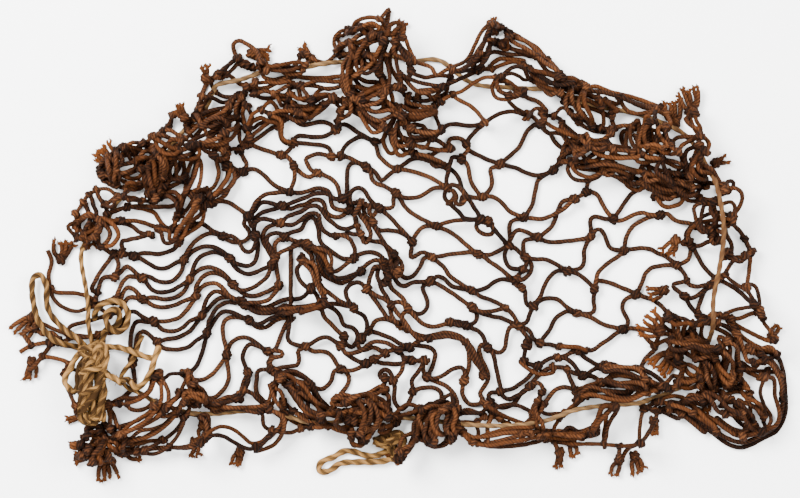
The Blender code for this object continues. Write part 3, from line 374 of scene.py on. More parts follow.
     487,287, 494,282, 502,279, 515,281),
    (1, 430,281, 438,284, 446,289, 454,294, 462,300, 472,307, 480,311, 490,311, 500,309, 508,307),
    (1, 430,281, 423,286, 424,293, 427,300, 427,307, 423,312, 417,314, 408,308),
    (1, 472,307, 482,313, 492,316, 502,318, 519,326, 529,330, 533,338, 540,343),
    (1, 472,307, 476,312, 477,318, 473,323, 466,325, 458,321, 450,322),
    (1, 450,322, 458,325, 466,325, 474,329, 481,333, 487,347),
    # cells below
    (1, 487,347, 482,343, 479,349, 481,358, 485,366, 488,374, 487,382, 482,389, 480,395, 484,401, 478,404,
     470,404, 464,398, 462,391, 464,380, 468,370, 469,360, 468,350, 464,341),
    (1, 487,347, 493,354, 495,363, 497,372, 499,381, 500,391, 492,392, 488,395, 492,402, 500,407, 509,406,
     516,401, 521,393, 530,386, 535,379, 540,374, 547,369, 556,367, 565,368, 572,372, 582,375, 592,376,
     600,381, 608,385, 615,386),
    (1, 487,347, 494,351, 501,352, 505,346, 506,338, 508,330, 511,326, 519,326),
    (2, 524,341, 525,348, 524,355, 524,362, 530,364, 537,366, 543,362, 550,358, 558,357, 565,358, 572,363,
     582,375, 591,370, 598,367, 606,364, 613,364, 626,370, 634,366, 642,369, 651,373, 658,378, 664,384),
    (2, 537,366, 531,374, 525,380, 518,385, 511,389, 500,391),
    (2, 530,386, 523,392, 515,396, 509,399, 503,396, 500,391),
    (2, 530,386, 537,382, 542,387, 541,394, 537,400, 537,410),
    (2, 567,371, 570,379, 577,391, 585,388, 593,386, 600,382, 607,378, 613,374, 626,376, 632,377, 641,380,
     650,384, 659,388),
    (2, 577,391, 570,388, 563,387, 556,389, 550,395, 545,402, 537,410),
    (3, 577,396, 586,392, 596,390, 606,390, 616,391, 626,391, 636,388, 646,386, 656,389),
    (3, 572,400, 581,396, 592,395, 604,396, 616,396, 627,394),
    (1, 366,363, 374,359, 380,363, 386,363, 394,364, 402,363, 411,360),
    (3, 424,360, 421,367, 417,373, 412,380, 413,391, 411,397, 407,405, 401,409, 396,404, 394,396, 395,388,
     393,380, 391,373, 386,369, 381,371, 380,377, 385,378),
    (3, 402,358, 403,366, 399,374, 393,380),
    (2, 385,378, 384,390, 388,394, 389,402, 388,410),
    (2, 384,390, 376,391, 368,393, 360,395, 352,396, 345,397, 338,398),
    (2, 413,391, 420,388, 428,387, 436,388, 441,393, 441,402),
    (2, 424,360, 423,369, 427,377, 435,381, 443,384, 450,389, 455,396, 458,404),
)
BUNCHED = (
    # first height, then x and y of each point in squares to the right and down.
    # left rim, from the top down
    (2, 76,214, 81,206, 91,194, 103,189, 113,191, 119,197), (3, 91,193, 96,209, 100,216),
    (4, 100,196, 108,211, 104,222), (2, 86,206, 91,220, 85,232), (2, 76,214, 78,225, 85,237, 86,249),
    (2, 48,250, 52,262, 49,276, 54,291, 77,293, 92,297), (2, 48,286, 58,303, 77,311, 96,306, 111,314),
    (1, 38,321, 66,333, 100,337), (1, 71,326, 92,320, 111,314), (2, 52,343, 39,362, 30,371),
    (1, 43,356, 58,358, 71,363), (1, 68,384, 79,401, 80,412), (5, 111,404, 134,401, 153,390, 161,371),
    (5, 164,379, 164,400, 151,417, 126,432), (5, 183,392, 164,411, 149,422, 119,434),
    (5, 187,400, 172,420, 153,434, 130,440), (5, 191,407, 178,428, 161,441, 138,453),
    (2, 123,453, 161,447, 191,445, 206,438), (3, 85,440, 92,428, 104,425, 113,428, 116,437),
    (1, 92,448, 108,458, 117,462), (4, 185,413, 204,417, 210,432), (3, 92,433, 108,440, 124,444, 141,440),
    (4, 98,440, 117,437, 136,443, 152,440, 166,442), (3, 95,447, 112,449, 131,452, 148,448),
    (5, 109,404, 112,416, 113,428, 121,438, 134,441), (2, 100,452, 90,450, 84,446),
    (3, 60,338, 52,332, 43,334, 36,328, 25,333), (2, 66,372, 74,368, 84,372, 95,370),
    (2, 20,352, 30,346, 42,343, 54,341), (4, 75,243, 82,236, 92,232, 102,226, 112,222, 124,219),
    (5, 81,221, 90,216, 98,219, 107,225, 112,233, 110,240),
    (6, 70,226, 78,236, 88,240, 97,237, 104,230),
    # shoulder at the top left
    (3, 105,214, 116,211, 128,207, 142,206, 156,207, 176,206),
    (2, 110,222, 124,221, 138,221, 151,225, 160,229), (2, 120,222, 133,226, 141,232, 152,235),
    (2, 128,205, 133,207, 145,209, 155,213, 160,221, 168,228, 178,227),
    (2, 150,196, 160,198, 170,196, 178,201, 179,209, 183,217), (2, 157,193, 168,189, 178,183, 188,181),
    (4, 100,168, 108,158, 118,151, 127,148), (5, 101,172, 111,163, 121,155, 132,150, 142,146),
    (6, 104,176, 113,170, 124,165, 133,163, 142,160), (5, 103,181, 112,183, 121,187, 131,190, 142,188),
    (7, 108,156, 111,166, 113,176, 112,184), (7, 117,152, 119,162, 118,172, 117,181),
    (6, 126,148, 136,143, 144,144, 154,138, 164,131), (5, 144,144, 150,150, 154,158),
    (5, 126,148, 130,156, 134,163, 143,161), (8, 139,160, 147,158, 155,162, 157,173, 156,184, 150,192),
    (7, 143,166, 146,182, 151,199), (8, 149,164, 152,178, 155,191, 158,200),
    (6, 156,158, 159,169, 158,182, 161,192), (6, 169,153, 169,166, 164,182),
    (5, 182,153, 181,166, 173,179, 165,186), (5, 120,172, 129,174, 138,170, 147,172),
    (6, 130,183, 140,184, 149,178, 152,170), (4, 128,196, 139,200, 148,201, 158,199),
    (5, 112,202, 121,196, 131,198, 142,199),
    (3, 168,128, 174,116, 179,114, 185,121, 189,130),
    (6, 156,138, 164,133, 172,131, 180,136, 187,139), (8, 152,146, 160,152, 169,147, 176,140, 184,143),
    (9, 158,140, 166,144, 174,149, 183,151, 192,148), (8, 163,157, 172,155, 181,158, 190,156, 199,150),
    (9, 154,150, 162,158, 168,166, 166,176), (7, 176,158, 172,168, 172,178, 180,180, 188,178),
    (4, 194,158, 187,176, 186,191, 182,204, 178,220), (5, 201,159, 196,179, 187,196, 179,214, 174,228),
    (4, 197,159, 192,178, 184,193, 181,208), (6, 158,197, 169,196, 179,204, 178,212),
    (3, 217,162, 219,174, 214,187, 205,191, 196,192, 192,198),
    (4, 224,164, 228,174, 222,186, 214,195, 203,199), (5, 231,166, 229,177, 222,189, 212,199),
    (5, 207,205, 199,216, 190,224, 182,238), (6, 200,200, 195,211, 187,221, 178,233, 176,244),
    (4, 192,226, 184,229, 172,228, 160,228), (6, 163,233, 166,242, 173,243, 180,238),
    (5, 203,207, 197,201, 194,194, 199,190, 206,191), (5, 204,149, 212,147, 220,149, 230,155),
    (5, 212,154, 221,160, 229,168), (2, 166,131, 172,121, 170,114),
    (2, 144,140, 154,155, 158,162),
    # crest left of the middle
    (2, 200,111, 203,100, 206,89, 214,77, 223,73, 232,62, 240,60), (2, 199,106, 201,98, 207,83, 219,75),
    (3, 219,77, 226,69, 232,64, 238,60), (3, 224,79, 238,65, 243,64, 252,67),
    (3, 256,51, 246,44, 240,41, 234,44, 234,51, 238,58, 246,63), (3, 243,66, 266,69, 279,69, 289,71),
    (3, 288,71, 297,64, 302,56), (2, 305,51, 308,57, 319,62, 327,62, 335,55),
    (4, 289,75, 308,78, 327,78, 352,75), (4, 288,78, 276,84, 264,89, 248,88),
    (5, 276,94, 289,87, 299,85, 305,92, 312,102), (5, 302,87, 319,82, 335,83, 348,82),
    (4, 312,102, 317,93, 325,89, 338,88, 348,82), (3, 244,94, 242,101, 246,108, 252,106),
    (4, 256,97, 266,92, 277,97, 282,106), (4, 266,106, 271,102, 277,108, 277,115),
    (6, 248,129, 254,115, 264,111, 271,116, 282,122, 283,138, 291,143), (5, 289,106, 308,107, 322,106,
     333,101),
    (5, 299,111, 312,110, 325,105), (4, 299,117, 312,116, 322,110, 333,101, 343,102),
    (5, 333,98, 344,102, 358,101), (4, 344,106, 352,111, 361,112),
    (6, 188,126, 197,118, 208,113, 219,110, 231,108), (7, 191,134, 200,127, 210,121, 221,116, 231,111),
    (7, 192,143, 203,137, 214,132, 224,124, 233,118), (8, 195,147, 206,144, 218,141, 226,135, 236,130),
    (6, 203,111, 212,120, 218,131, 222,143, 225,155), (7, 197,114, 203,124, 209,135, 212,146),
    (8, 205,128, 213,121, 223,120, 230,126, 228,136), (5, 236,98, 229,106, 222,114, 221,125, 222,138,
     224,150),
    (5, 240,100, 236,110, 238,121, 240,133, 241,146), (6, 246,105, 243,115, 247,127, 251,139),
    (4, 250,144, 260,137, 269,130, 279,124), (4, 247,140, 256,133, 265,126, 274,119, 282,116),
    (3, 250,131, 259,124, 268,121, 277,117), (3, 211,82, 216,92, 226,97, 237,96, 247,93),
    (3, 205,97, 214,99, 224,103, 233,100), (2, 213,90, 208,100, 201,110, 193,118),
    (3, 229,74, 237,82, 246,86, 256,84), (4, 248,88, 258,97, 268,99, 279,97, 289,99),
    (4, 256,84, 268,83, 280,84, 291,82), (3, 262,76, 272,80, 283,78, 293,76),
    (5, 283,100, 288,108, 285,118, 279,126), (5, 291,95, 299,100, 309,99, 319,97, 329,96),
    (6, 270,116, 279,112, 290,112, 301,114, 310,118), (4, 243,150, 234,149, 226,151, 219,147),
    # peak in the middle
    (5, 340,55, 335,47, 335,38, 343,31, 352,31), (8, 352,28, 357,22, 370,19, 382,23, 386,32, 384,38),
    (8, 340,47, 353,43, 362,36, 376,33), (7, 342,54, 351,54, 358,46, 366,42),
    (3, 389,11, 387,20, 383,30), (9, 358,51, 353,64, 351,83, 354,94, 362,97, 376,91, 391,88, 400,89),
    (10, 355,55, 349,68, 348,84, 352,97, 362,103, 376,97, 390,93), (8, 352,75, 366,82, 379,83, 395,89),
    (9, 362,98, 372,98, 385,93, 394,92), (11, 358,71, 357,60, 366,45, 376,37, 384,42),
    (10, 366,56, 379,57, 389,57), (9, 359,102, 366,110, 379,114, 391,112, 400,119),
    (7, 358,111, 368,122, 379,129, 385,130), (6, 356,106, 366,117, 377,124, 388,125),
    (6, 384,128, 391,133, 399,145, 406,153), (10, 348,36, 356,31, 365,31, 374,35, 379,43),
    (11, 350,46, 358,54, 368,58, 377,65, 381,75), (10, 371,39, 368,50, 371,61, 376,71, 383,79),
    (9, 363,30, 370,26, 378,29, 380,37, 373,41), (11, 383,45, 378,55, 372,66, 362,74, 353,80),
    (9, 356,88, 366,91, 377,87, 388,83), (8, 376,72, 385,82, 391,94, 394,106),
    (9, 388,38, 390,29, 397,26, 404,29), (8, 393,41, 404,41, 409,51, 414,63),
    (9, 395,45, 403,57, 409,64, 411,74), (10, 388,43, 384,55, 388,68, 390,82, 386,94),
    (8, 398,43, 396,55, 397,67, 400,78, 403,90), (8, 365,104, 375,106, 386,104, 396,108, 404,114),
    (7, 350,97, 346,106, 341,113, 337,122), (8, 383,98, 390,106, 397,113, 404,122, 409,131),
    (6, 396,118, 391,128, 391,140, 396,150), (7, 401,119, 398,130, 403,140, 411,146),
    # between the middle and the right peak
    (4, 411,75, 425,79, 436,77, 449,77), (4, 420,65, 431,69, 436,77, 444,73, 462,64, 469,57, 474,47, 481,33,
     488,26, 495,23, 502,28), (5, 455,75, 469,66, 477,59, 482,47, 486,36, 491,28),
    (4, 495,28, 505,29, 513,37, 527,43, 538,54, 551,64, 561,79), (3, 513,33, 524,40, 537,48, 546,59),
    (5, 506,33, 513,43, 527,51, 539,60, 546,66, 559,75), (3, 485,55, 495,52, 508,55, 524,55, 533,59),
    (4, 481,69, 491,69, 502,65, 515,62, 527,68), (3, 491,65, 499,59, 509,59, 524,61),
    (5, 502,78, 506,73, 515,69, 523,71, 527,79, 533,79), (5, 524,67, 537,72, 552,77, 566,81, 580,84),
    (6, 527,71, 541,74, 556,79, 571,80, 583,88), (5, 533,79, 546,88, 558,92), (4, 555,79, 559,94, 565,102),
    (4, 435,110, 441,102, 451,96, 462,92, 469,87, 482,80, 495,80, 508,84, 520,93),
    (4, 441,87, 451,84, 463,78, 477,71), (5, 496,89, 499,94, 508,97, 520,97), (3, 500,79, 513,89, 522,94),
    (3, 524,97, 538,102, 546,112), (6, 403,77, 416,83, 434,87, 442,88), (6, 418,92, 431,91, 441,89),
    (7, 400,106, 412,112, 427,111, 435,112, 431,116, 416,119, 403,117), (6, 406,102, 418,106, 432,108),
    (5, 409,124, 422,126, 427,131, 441,133), (6, 407,128, 418,133, 431,135, 441,131),
    (5, 391,134, 403,138, 416,142, 431,139), (4, 409,145, 425,148, 441,151, 451,151),
    (4, 434,139, 449,149), (4, 410,152, 420,157, 431,162, 441,166), (5, 413,154, 424,156, 435,160, 445,164),
    (3, 528,120, 531,112, 538,111, 539,119), (4, 539,115, 556,117, 564,125, 580,138),
    (5, 541,122, 552,129, 566,135, 579,140), (3, 556,114, 561,108, 569,112, 580,121),
    (3, 484,124, 478,115, 470,107, 461,102, 452,97), (3, 484,124, 494,117, 505,113, 516,113, 526,117),
    (3, 404,95, 414,99, 424,101, 435,99, 444,94), (2, 436,97, 434,108, 437,120, 441,131),
    (3, 452,73, 448,83, 446,94, 440,104), (3, 505,98, 512,106, 522,112, 533,117, 537,124),
    (5, 468,64, 474,57, 479,49, 484,43, 491,41, 498,44, 504,48), (5, 494,43, 500,44, 505,41, 506,36),
    # right shoulder
    (3, 560,84, 583,89, 595,86, 611,92, 632,97, 652,104, 663,110, 668,123),
    (4, 586,91, 606,94, 624,100, 643,106, 659,107), (5, 618,98, 637,106, 652,110, 664,113),
    (4, 597,98, 601,110, 603,123), (4, 607,98, 611,112, 612,126), (4, 610,130, 621,126, 632,127),
    (5, 624,147, 626,135, 632,127), (3, 569,112, 575,120, 591,130, 610,133), (4, 578,113, 591,126, 610,130),
    (5, 560,126, 569,135, 580,139, 598,141, 609,135), (7, 627,156, 652,159, 670,162, 684,167),
    (6, 583,146, 604,146, 624,150, 633,156), (7, 590,150, 610,151, 628,153, 646,157, 662,161),
    (6, 560,161, 572,162, 600,162, 621,167, 646,175, 664,185, 682,190),
    (5, 575,166, 590,168, 604,169, 618,170, 632,177, 648,183), (5, 560,159, 569,150, 577,139),
    (6, 569,161, 574,172, 588,178, 600,173, 610,170, 629,176), (7, 661,153, 672,155, 679,146, 696,138),
    (6, 571,152, 575,143, 583,139, 592,141, 598,147), (7, 574,158, 582,153, 586,144, 584,135),
    (6, 583,160, 592,155, 597,148, 606,142), (6, 577,149, 583,158, 593,164, 604,161, 611,153),
    (6, 600,155, 609,160, 613,169, 606,177), (5, 613,166, 622,172, 628,181, 636,184, 643,178),
    (8, 635,120, 637,132, 634,144, 638,155), (9, 643,117, 646,129, 645,141, 649,152),
    (9, 652,117, 655,128, 653,140, 658,151), (10, 661,124, 662,135, 666,146, 673,152),
    (8, 632,130, 643,127, 654,131, 665,129), (9, 636,139, 647,142, 658,139, 669,142),
    (10, 640,148, 650,146, 659,149, 669,146), (10, 647,124, 641,132, 641,143, 646,151),
    (4, 696,135, 705,141, 705,149, 695,146), (5, 675,153, 682,159, 686,167, 682,176),
    (5, 692,110, 693,121, 698,130, 695,138), (4, 687,113, 690,123, 694,133, 700,137, 706,145, 702,154),
    (5, 666,170, 667,176, 679,182, 689,183), (8, 687,178, 692,170, 701,170, 710,176, 719,185),
    (9, 693,160, 700,166, 708,171, 714,180, 719,190), (8, 695,147, 689,162, 686,178),
    (9, 699,152, 696,163, 698,173, 706,180), (7, 684,167, 694,172, 703,179, 707,189),
    (3, 722,188, 725,182, 731,182, 731,187, 727,192, 719,195),
    (3, 719,191, 731,189, 738,196, 736,207, 730,216), (3, 719,205, 727,202, 732,205, 731,216),
    (4, 655,196, 653,190, 660,187, 670,189, 680,192), (4, 655,198, 664,207, 679,204, 682,197, 676,193),
    (7, 665,185, 676,184, 688,188, 700,186), (6, 680,192, 692,195, 703,199, 712,201),
    (5, 689,244, 687,233, 695,225, 707,221, 728,219), (7, 710,202, 713,221, 707,237),
    (8, 704,226, 709,234, 716,241, 712,229), (7, 701,206, 698,216, 697,226, 703,232),
    (4, 698,200, 708,206, 715,215, 721,224), (2, 728,221, 741,234, 750,251),
    (2, 725,234, 730,244, 730,254), (3, 700,228, 709,225, 719,226, 728,222),
    # right edge
    (2, 744,240, 750,252, 748,271, 744,287), (2, 722,257, 738,257, 751,252), (2, 728,266, 721,277, 716,279),
    (3, 725,277, 736,286, 744,292, 751,304), (2, 744,287, 747,284, 754,287, 757,301, 756,310),
    (2, 719,317, 733,310, 750,306), (3, 725,318, 739,318, 753,312), (2, 756,312, 761,324, 768,335),
    (3, 730,321, 745,330, 762,339, 773,338), (3, 730,324, 744,338, 757,346, 770,352),
    (4, 748,303, 755,309, 756,318), (4, 724,252, 731,259, 737,262, 744,256),
    # bag at the lower right
    (2, 757,353, 774,353, 782,367, 785,390, 785,413, 777,430, 765,437, 744,447, 728,444, 710,431, 698,422,
     682,411, 659,407), (3, 759,356, 771,361, 779,375, 782,392, 780,413, 773,427, 756,437, 742,442, 725,437,
     707,425, 692,414), (4, 759,376, 771,378, 773,395, 777,411, 773,424, 751,433, 734,434, 713,419, 700,412),
    (4, 757,378, 757,392, 765,407, 770,416, 765,428), (4, 741,362, 753,370, 767,371, 780,373),
    (4, 736,347, 754,352, 771,359), (4, 739,367, 757,376, 768,373), (6, 719,338, 733,346, 736,359, 739,375,
     731,385), (5, 733,329, 739,341, 744,359, 751,361, 759,359), (6, 698,378, 716,382, 733,387, 748,384),
    (7, 713,356, 707,375, 713,390), (4, 741,381, 742,395, 754,401, 762,409),
    (4, 667,401, 689,405, 702,414, 721,424, 739,436), (5, 659,401, 672,404, 686,409, 700,418, 716,428),
    (4, 733,405, 744,411, 748,424, 742,434), (4, 722,402, 739,401, 754,407, 760,416),
    (4, 746,345, 757,348, 768,346, 775,355), (4, 752,362, 762,360, 771,366, 779,383, 779,398),
    (4, 748,393, 756,403, 762,414, 763,425), (4, 716,417, 728,426, 741,431, 757,429),
    (6, 712,346, 721,352, 729,361, 731,373), (7, 704,345, 712,357, 719,369, 729,378),
    (7, 717,350, 713,362, 718,374, 727,383), (6, 726,340, 727,353, 724,366, 722,379),
    (8, 660,322, 669,330, 680,333, 692,330), (9, 655,345, 666,339, 678,342, 690,339, 701,343),
    (10, 664,315, 672,324, 683,322, 694,325, 704,321), (9, 678,318, 676,331, 681,343, 679,355),
    (9, 691,320, 690,333, 694,346, 690,358), (8, 702,319, 700,332, 704,345, 699,357),
    (10, 668,347, 679,349, 690,345, 702,350, 712,347), (9, 684,352, 695,358, 706,355, 717,359),
    (7, 673,357, 680,364, 681,374, 675,382), (7, 683,362, 693,367, 700,375, 699,386),
    (8, 699,358, 708,366, 712,377, 710,388), (6, 675,383, 686,388, 697,385, 709,389, 720,387),
    (7, 660,384, 669,387, 677,380, 686,381, 697,377), (6, 682,401, 693,397, 705,400, 716,396, 728,398),
    (7, 701,393, 709,400, 714,409, 724,413, 735,411), (4, 716,391, 726,394, 737,391, 748,395),
    (5, 668,408, 680,404, 691,401, 703,405), (4, 706,321, 717,323, 728,328, 737,335),
    (4, 713,327, 724,332, 733,340, 741,349, 750,353), (5, 706,319, 717,315, 728,316),
    # bottom right
    (3, 560,346, 580,347, 586,353), (4, 601,382, 611,376, 626,375, 646,379, 667,388),
    (3, 578,388, 598,382, 624,385, 646,385, 664,388), (5, 575,399, 588,393, 609,398, 627,399, 640,393,
     655,388),
    (2, 560,419, 569,408, 580,399), (5, 591,431, 598,418, 612,405), (5, 604,441, 607,424, 617,407),
    (5, 586,433, 596,424, 604,412, 613,404), (5, 560,434, 583,434, 595,430),
    (2, 540,437, 560,442, 575,443, 595,443, 621,444, 637,441), (3, 637,442, 639,425, 643,411, 655,402),
    (4, 637,441, 645,432, 651,422, 655,413), (1, 637,443, 626,449, 619,460),
    (2, 536,406, 545,413, 557,413, 569,411, 578,403, 587,396), (3, 552,430, 557,421, 561,413),
    (5, 603,371, 615,369, 628,372, 641,378), (5, 601,379, 616,384, 631,387, 646,393),
    (4, 607,366, 621,366, 636,370, 648,378), (4, 486,404, 500,413, 513,419, 527,424),
    (3, 520,362, 530,370, 541,374, 553,372), (4, 492,408, 505,404, 518,405, 530,411),
    (4, 640,404, 652,409, 664,412, 677,418), (4, 672,409, 684,416, 694,424, 704,432),
    # bottom centre
    (3, 449,407, 451,419, 453,432), (4, 456,405, 457,421, 454,432), (3, 391,415, 405,415, 421,408),
    (4, 418,419, 416,434, 411,445, 402,454), (3, 416,424, 412,439, 406,449, 397,456),
    (3, 459,412, 478,412, 487,409), (3, 459,421, 475,421, 484,416),
    (5, 459,426, 470,439, 487,443, 506,440, 534,436, 548,433, 582,432, 593,425),
    (5, 462,430, 476,441, 492,440, 512,435, 536,431, 556,434, 582,435),
    (3, 471,440, 492,446, 520,445, 543,440), (3, 544,435, 560,438, 580,437, 596,434),
    (4, 474,421, 478,430, 477,439), (4, 491,417, 487,427, 488,438),
    (4, 488,400, 494,410, 503,420, 514,428, 530,431), (3, 513,430, 521,425, 529,419, 536,407, 541,391),
    (5, 534,401, 535,412, 541,421, 542,430), (4, 523,428, 531,421, 538,412, 544,404),
    (3, 538,408, 533,418, 526,427, 519,432), (3, 486,402, 490,412, 498,418, 508,425),
    (3, 458,412, 467,409, 477,412, 487,417), (4, 484,401, 491,410, 499,415), (1, 553,441, 559,452, 561,461),
    (3, 441,402, 446,412, 450,424, 447,437), (3, 388,410, 396,416, 407,414, 418,410),
    (2, 422,434, 428,444, 438,446, 449,438), (1, 402,454, 397,463),
    (3, 396,422, 388,430, 379,431), (3, 400,449, 410,446, 416,437),
    # bottom left of the middle
    (4, 193,384, 201,397, 215,405, 229,398, 238,393), (5, 214,411, 229,408, 243,408, 259,411, 270,404),
    (5, 195,383, 200,392, 210,402, 224,402, 238,398), (5, 277,374, 287,374, 295,378, 306,386, 313,396,
     330,409, 351,412), (5, 291,384, 299,395, 306,409, 320,415), (5, 270,383, 274,393, 278,401, 287,412),
    (3, 264,415, 264,423, 268,428, 278,431, 292,432, 305,425), (5, 275,409, 285,416, 284,430, 274,444,
     257,450),
    (5, 273,430, 266,440, 257,446, 248,447, 236,441, 225,434, 214,433, 208,440),
    (5, 198,415, 207,419, 209,430, 204,440), (1, 170,447, 182,446, 194,443, 204,440),
    (5, 287,380, 294,390, 302,400, 311,408, 322,412), (5, 283,378, 291,391, 299,402, 309,412, 321,417),
    (4, 278,376, 273,386, 271,396, 268,406), (4, 281,377, 276,387, 275,397, 271,408),
    (5, 301,391, 310,398, 319,406, 331,412, 344,411), (4, 283,402, 286,412, 285,424, 275,430),
    (5, 334,408, 336,401, 353,397, 376,393, 388,387), (6, 355,412, 376,404, 388,415, 400,416),
    (5, 315,426, 329,425, 341,430, 358,432, 368,426), (4, 350,435, 354,445, 362,442, 360,432),
    (4, 382,426, 391,424, 400,421), (7, 345,400, 356,403, 366,400, 377,405, 386,412),
    (8, 352,408, 362,411, 372,407, 381,411, 388,419), (7, 340,412, 352,415, 364,412, 375,417),
    (9, 357,398, 364,406, 365,417, 360,427), (9, 370,398, 373,409, 370,420, 366,431),
    (8, 381,402, 383,412, 378,423, 370,430), (8, 350,420, 361,419, 371,425, 369,435),
    (7, 332,402, 341,404, 350,400, 360,402), (6, 322,412, 334,414, 346,418, 356,424),
    (7, 361,430, 366,439, 360,445, 352,440, 352,431), (6, 341,413, 336,421, 344,427, 354,430),
    (6, 185,390, 189,399, 196,406, 202,398), (7, 186,401, 193,394, 200,396, 208,402),
    (5, 190,371, 190,382, 194,392, 199,401), (4, 188,377, 183,388, 177,397, 169,405),
    (4, 190,390, 181,395, 173,402, 168,410), (4, 172,373, 178,373, 184,373),
    # twisted rope and tangle on the left of the middle
    (3, 280,309, 292,308, 306,307, 324,302), (4, 283,314, 296,311, 310,309, 325,306),
    (4, 300,312, 312,309, 326,303), (4, 301,258, 310,262, 318,272, 320,284, 324,296),
    (5, 303,262, 312,270, 316,280, 322,292, 327,302), (5, 312,248, 320,252, 326,260, 330,270),
    # coil at the bottom centre
    (5, 424,410, 421,420, 423,432, 427,440), (6, 428,408, 426,419, 427,431, 431,438),
    (6, 433,407, 430,418, 431,430, 434,439), (7, 437,406, 434,416, 434,428, 437,437),
    (8, 442,409, 447,413, 449,421, 447,429, 442,432, 438,428, 436,420, 438,413, 442,409),
    (8, 450,406, 449,415, 451,424, 453,434), (9, 453,406, 455,415, 452,424, 456,433),
    (8, 457,406, 455,416, 457,425, 452,434), (6, 422,408, 431,404, 441,405, 452,402),
    (5, 424,412, 433,408, 444,407, 457,409), (3, 423,432, 428,441, 436,445, 445,443, 452,435),
    (5, 388,416, 398,415, 409,412, 421,408), (5, 420,412, 418,423, 417,434, 410,442, 399,448),
    # below the left of the middle
    (4, 283,400, 291,408, 300,413, 311,417, 322,418), (3, 282,410, 290,419, 300,424, 312,425),
    (5, 295,410, 305,418, 316,422, 328,422), (3, 300,430, 310,424, 320,418, 330,412),
    # over the string at the top left
    (6, 262,64, 272,68, 284,66, 296,64, 306,66), (6, 268,72, 276,66, 290,68, 304,70),
    # between the right peak and the shoulder
    (3, 562,88, 575,92, 590,95, 604,100, 618,104), (4, 560,95, 573,98, 588,101, 600,108),
    (4, 566,84, 580,92, 594,98, 606,104, 618,112), (3, 562,102, 574,104, 588,107, 603,113, 612,118),
    (5, 571,88, 570,100, 575,110, 583,118), (5, 584,90, 582,102, 587,113, 593,124),
    # under the shoulder
    (6, 642,163, 652,168, 664,172, 676,173), (7, 640,171, 650,176, 660,179, 672,181),
    (6, 646,158, 648,168, 652,179, 660,188), (7, 658,160, 662,170, 668,180, 676,188),
    (5, 641,182, 650,188, 660,192, 672,193),
    # in the bag
    (4, 722,404, 730,412, 738,421, 746,428), (4, 724,396, 735,402, 745,410, 753,419),
    (4, 721,410, 732,415, 744,419, 756,424), (4, 735,398, 738,410, 744,421, 752,431),
    (4, 748,400, 750,412, 747,424, 740,433),
    # under the tie and right of it
    (1, 86,371, 94,376, 102,377, 110,373), (1, 87,399, 95,403, 104,404, 112,401),
    # corner at the lower left
    (5, 88,436, 96,430, 104,433, 108,441), (4, 100,428, 108,436, 112,447, 108,456),
    (5, 92,446, 101,441, 112,444, 121,450), (4, 96,459, 104,452, 113,449, 122,452),
    (5, 104,424, 113,431, 119,441, 124,450), (4, 86,452, 94,455, 103,457, 112,455),
    (6, 99,462, 97,453, 103,446, 108,438), (3, 74,443, 82,441, 90,443), (4, 76,458, 82,453, 90,453),
    (4, 128,404, 137,409, 148,407, 158,398), (4, 113,427, 127,424, 143,417, 158,405),
    (5, 158,404, 162,412, 170,414, 180,408), (4, 139,440, 152,433, 166,424, 177,413),
)
TRACE_STEP = 2.5


def plan_points(row):
    """Plan points of one row of strands, whose first value is a height."""
    points = np.array(row[1:], float).reshape(-1, 2) - ORIGIN
    return points * (SQUARE, -SQUARE)


shared = {}
for row in STRANDS:
    for place in {tuple(point) for point in np.round(plan_points(row), 3)}:
        shared[place] = shared.get(place, 0) + 1
knot_places = [np.array(place) for place, count in shared.items() if count > 1]


# Where the cut ends stick out
# The maker cut the twine at the edge of the net. Each group of ends comes out of one knot, and
# the ends have opened into their plies.
TUFTS = (
    # x, y, towards, length, ends, splay
    (-173, -9, 80, 11, 4, 70), (-188, -39, 230, 14, 4, 60), (-188, -62, 265, 10, 3, 50),
    (-162, -90, 200, 8, 2, 40), (-157, -107, 190, 12, 4, 70), (-150, -113, 280, 12, 4, 70),
    (-140, -109, -8, 9, 3, 30), (-103.5, -104, 265, 7, 2, 60), (-80, -109, 255, 7, 3, 60),
    (-99, -95, 262, 6, 2, 40), (5, -108, 215, 9, 3, 40), (86, -109, 265, 8, 2, 40),
    (92, -104, 285, 7, 2, 40), (117, -113, 250, 9, 2, 30), (125, -111, 285, 10, 3, 50),
    (135, -93, 270, 6, 2, 50), (140, -25, 195, 9, 3, 60), (146, 1, 235, 9, 3, 60),
    (151, 27, 185, 14, 4, 40), (137, -46, 150, 12, 5, 90), (143, -58, 235, 12, 5, 80),
    (160, -79, 300, 9, 3, 50), (196, -49, 60, 6, 2, 40), (155, 69, 105, 13, 5, 60),
    (146, 62, 97, 13, 4, 40), (167, 41, 20, 6, 2, 60), (-5, 109, 78, 12, 1, 10),
    (1, 108, 60, 7, 2, 50), (-43, 95, 125, 8, 2, 30), (-74, 98, -10, 10, 4, 40),
    (-97, 84, 100, 6, 2, 60), (-108, 64, 120, 7, 3, 50), (-157, 8, 270, 13, 4, 40),
    (-146, 42, 140, 10, 5, 80), (52, 110, 90, 5, 1, 10),
)
TUFT_HEAD = 2.5
# Where an end leaves the knot, how much shorter some ends are and how they bend.
ROOT_REACH = 0.7
END_WIDE = 1.7
END_APART = 0.4
END_SHORTER = 0.25
END_BEND = 0.3
END_POINTS = 7
TUFT_START = 10
TUFT_MIDDLE = (0, -10)
FAR_OUT = 150
FAR_UP = 90


def turned(direction, angle):
    """A plan direction turned anticlockwise."""
    cosine, sine = math.cos(angle), math.sin(angle)
    return np.array((direction[0] * cosine - direction[1] * sine,
                     direction[0] * sine + direction[1] * cosine))


